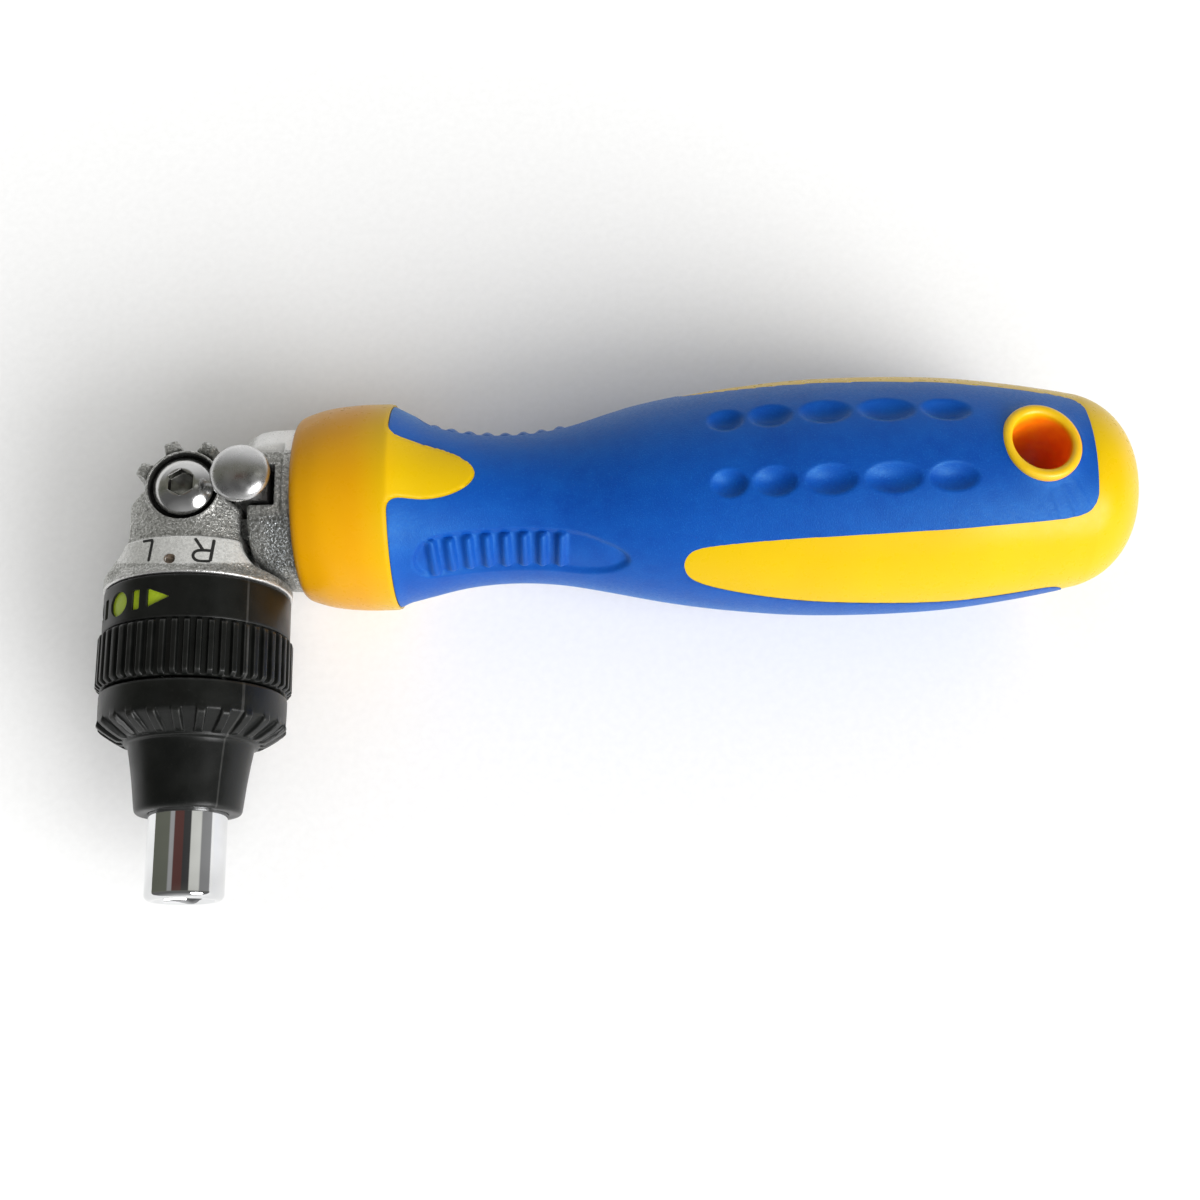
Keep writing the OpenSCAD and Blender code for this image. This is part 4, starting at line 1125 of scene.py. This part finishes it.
strokes = [
    stroke([(-3.50, 7.68), (-3.88, 10.62)], 0.22),
    stroke([(-4.92, 7.64), (-3.44, 7.68)], 0.20),
    stroke([(4.50, 7.72), (4.16, 10.80)], 0.22),
    stroke([(4.16, 10.78), (3.2, 10.86), (2.42, 10.72), (2.03, 10.12), (2.30, 9.55), (3.0, 9.34), (4.30, 9.32)], 0.21),
    stroke([(3.25, 9.34), (2.72, 8.55), (2.15, 7.70)], 0.22),
]
v, g = join(strokes)
piece("direction_letters", mesh_of("direction_letters", v, g), "head", INK, (), 50)

# cup of the index dot
def on_dot(x, y, z):
    return [x * 1.12 - 0.93, PY - (y * 0.92 + 10.5), z]


v, g = turn([(0.30, 11.40), (0.45, 11.42), (0.56, 11.50), (0.60, 11.65), (0.64, 11.80), (0.66, 11.815), (0.71, 11.80), (0.72, 11.5), (0.70, 11.3), (0.3, 11.3)], 40, on_dot)
piece("index_dot", mesh_of("index_dot", v, g), "head", DOT, (), 50)

# ------------------------------------------------------------- stage and camera
floor_z = float(CAD_LO[2]) - 0.00002
me = bpy.data.meshes.new("floor")
me.from_pydata([(-3, -3, floor_z), (3, -3, floor_z), (3, 3, floor_z), (-3, 3, floor_z)], [], [(0, 1, 2, 3)])
floor = bpy.data.objects.new("floor", me)
scene.collection.objects.link(floor)
k = Mat("floor_paper")
nz = k.noise(900, 3, 0.6)
k.put(Base_Color=k.mix(k.rng(nz, 0.3, 0.7, 0, 1), (0.88, 0.88, 0.88), (0.91, 0.91, 0.91)), Roughness=0.75)
k.put(Normal=k.bump(nz, 0.00002, 0.3))
k.b.inputs["Specular IOR Level"].default_value = 0.15
me.materials.append(k.m)

cam_data = bpy.data.cameras.new("photo_camera")
cam_data.sensor_fit = "HORIZONTAL"
cam_data.sensor_width = 36.0
cam_data.lens = 1524.76 / 1200 * 36.0
cam_data.clip_start, cam_data.clip_end = 0.01, 20
cam = bpy.data.objects.new("photo_camera", cam_data)
scene.collection.objects.link(cam)
R = (Matrix.Rotation(math.radians(1.579), 3, "Z") @ Matrix.Rotation(math.radians(0.325), 3, "Y") @ Matrix.Rotation(math.radians(-17.0), 3, "X"))
T = Vector((-55.376, 12.013, -213.0))
Ri = R.transposed()
loc = (-(Ri @ T) + Vector((0, PY, 0))) * MM
cam.matrix_world = Matrix.Translation(loc) @ Ri.to_4x4()
scene.camera = cam


def soft_light(name, towards, strength, angle):
    """A wide far lamp; towards points from the tool to the lamp."""
    ld = bpy.data.lights.new(name, "SUN")
    ld.energy = strength
    ld.angle = math.radians(angle)
    o = bpy.data.objects.new(name, ld)
    o.rotation_euler = Vector(towards).to_track_quat("Z", "Y").to_euler()
    o.location = Vector(towards) * 0.5
    scene.collection.objects.link(o)
    return o


soft_light("key", (0.46, -0.66, 0.59), 2.85, 66).visible_glossy = False
soft_light("side", (0.66, -0.60, 0.45), 2.3, 34)
soft_light("fill", (-0.20, 0.25, 0.95), 0.20, 80).visible_glossy = False

world = bpy.data.worlds.new("studio")
scene.world = world
world.use_nodes = True
wt = world.node_tree
bg = wt.nodes["Background"]
bg.inputs["Strength"].default_value = 1.0
sep = wt.nodes.new("ShaderNodeSeparateXYZ")
wt.links.new(wt.nodes.new("ShaderNodeTexCoord").outputs["Generated"], sep.inputs[0])


def ramp(value, lo, hi, stops):
    """Colours along a value between lo and hi."""
    r = wt.nodes.new("ShaderNodeValToRGB")
    m = wt.nodes.new("ShaderNodeMapRange")
    m.inputs["From Min"].default_value, m.inputs["From Max"].default_value = lo, hi
    wt.links.new(value, m.inputs["Value"])
    wt.links.new(m.outputs["Result"], r.inputs["Fac"])
    e = r.color_ramp.elements
    while len(e) < len(stops):
        e.new(0.5)
    for el, (p, c) in zip(e, stops):
        el.position = (p - lo) / (hi - lo)
        el.color = (*c, 1) if isinstance(c, tuple) else (c, c, c, 1)
    return r.outputs["Color"]


# panels of the studio, by the angle about the world's y axis, 0 overhead and 90 to the right
turn_y = wt.nodes.new("ShaderNodeMath")
turn_y.operation = "ARCTAN2"
wt.links.new(sep.outputs[0], turn_y.inputs[0])
wt.links.new(sep.outputs[2], turn_y.inputs[1])
RAD = math.pi / 180
OLIVE, WINE = (0.125, 0.13, 0.105), (0.10, 0.045, 0.040)
panels = ramp(turn_y.outputs[0], -math.pi, math.pi, [(-180 * RAD, 0.9), (-93 * RAD, 0.9), (-90 * RAD, OLIVE), (-38 * RAD, OLIVE), (-34 * RAD, 0.32), (-24 * RAD, 0.32),
    (-21 * RAD, WINE), (3 * RAD, WINE), (6 * RAD, 0.045), (24 * RAD, 0.05), (27 * RAD, (0.62, 0.62, 0.58)), (54 * RAD, (0.66, 0.66, 0.62)),
    (58 * RAD, 0.25), (87 * RAD, 0.28), (91 * RAD, 0.9), (180 * RAD, 0.9)])
ends = ramp(sep.outputs[1], -1, 1, [(-1.0, 0.55), (-0.8, 0.30), (-0.5, 0.13), (-0.2, 0.13), (0.15, (0.17, 0.17, 0.14)), (0.42, (0.20, 0.20, 0.165)), (0.62, 0.42), (0.85, 0.80), (1.0, 0.95)])
part = ramp(sep.outputs[1], -1, 1, [(-1.0, 1.0), (0.03, 1.0), (0.07, 0.0), (0.18, 0.0), (0.22, 1.0), (1.0, 1.0)])
mul = wt.nodes.new("ShaderNodeMix")
mul.data_type = "RGBA"
wt.links.new(part, mul.inputs["Factor"])
wt.links.new(panels, mul.inputs[6])
wt.links.new(ends, mul.inputs[7])
wt.links.new(mul.outputs[2], bg.inputs["Color"])
scene.view_settings.view_transform = "Standard"
scene.view_settings.look = "None"
scene.view_settings.exposure = 0.0
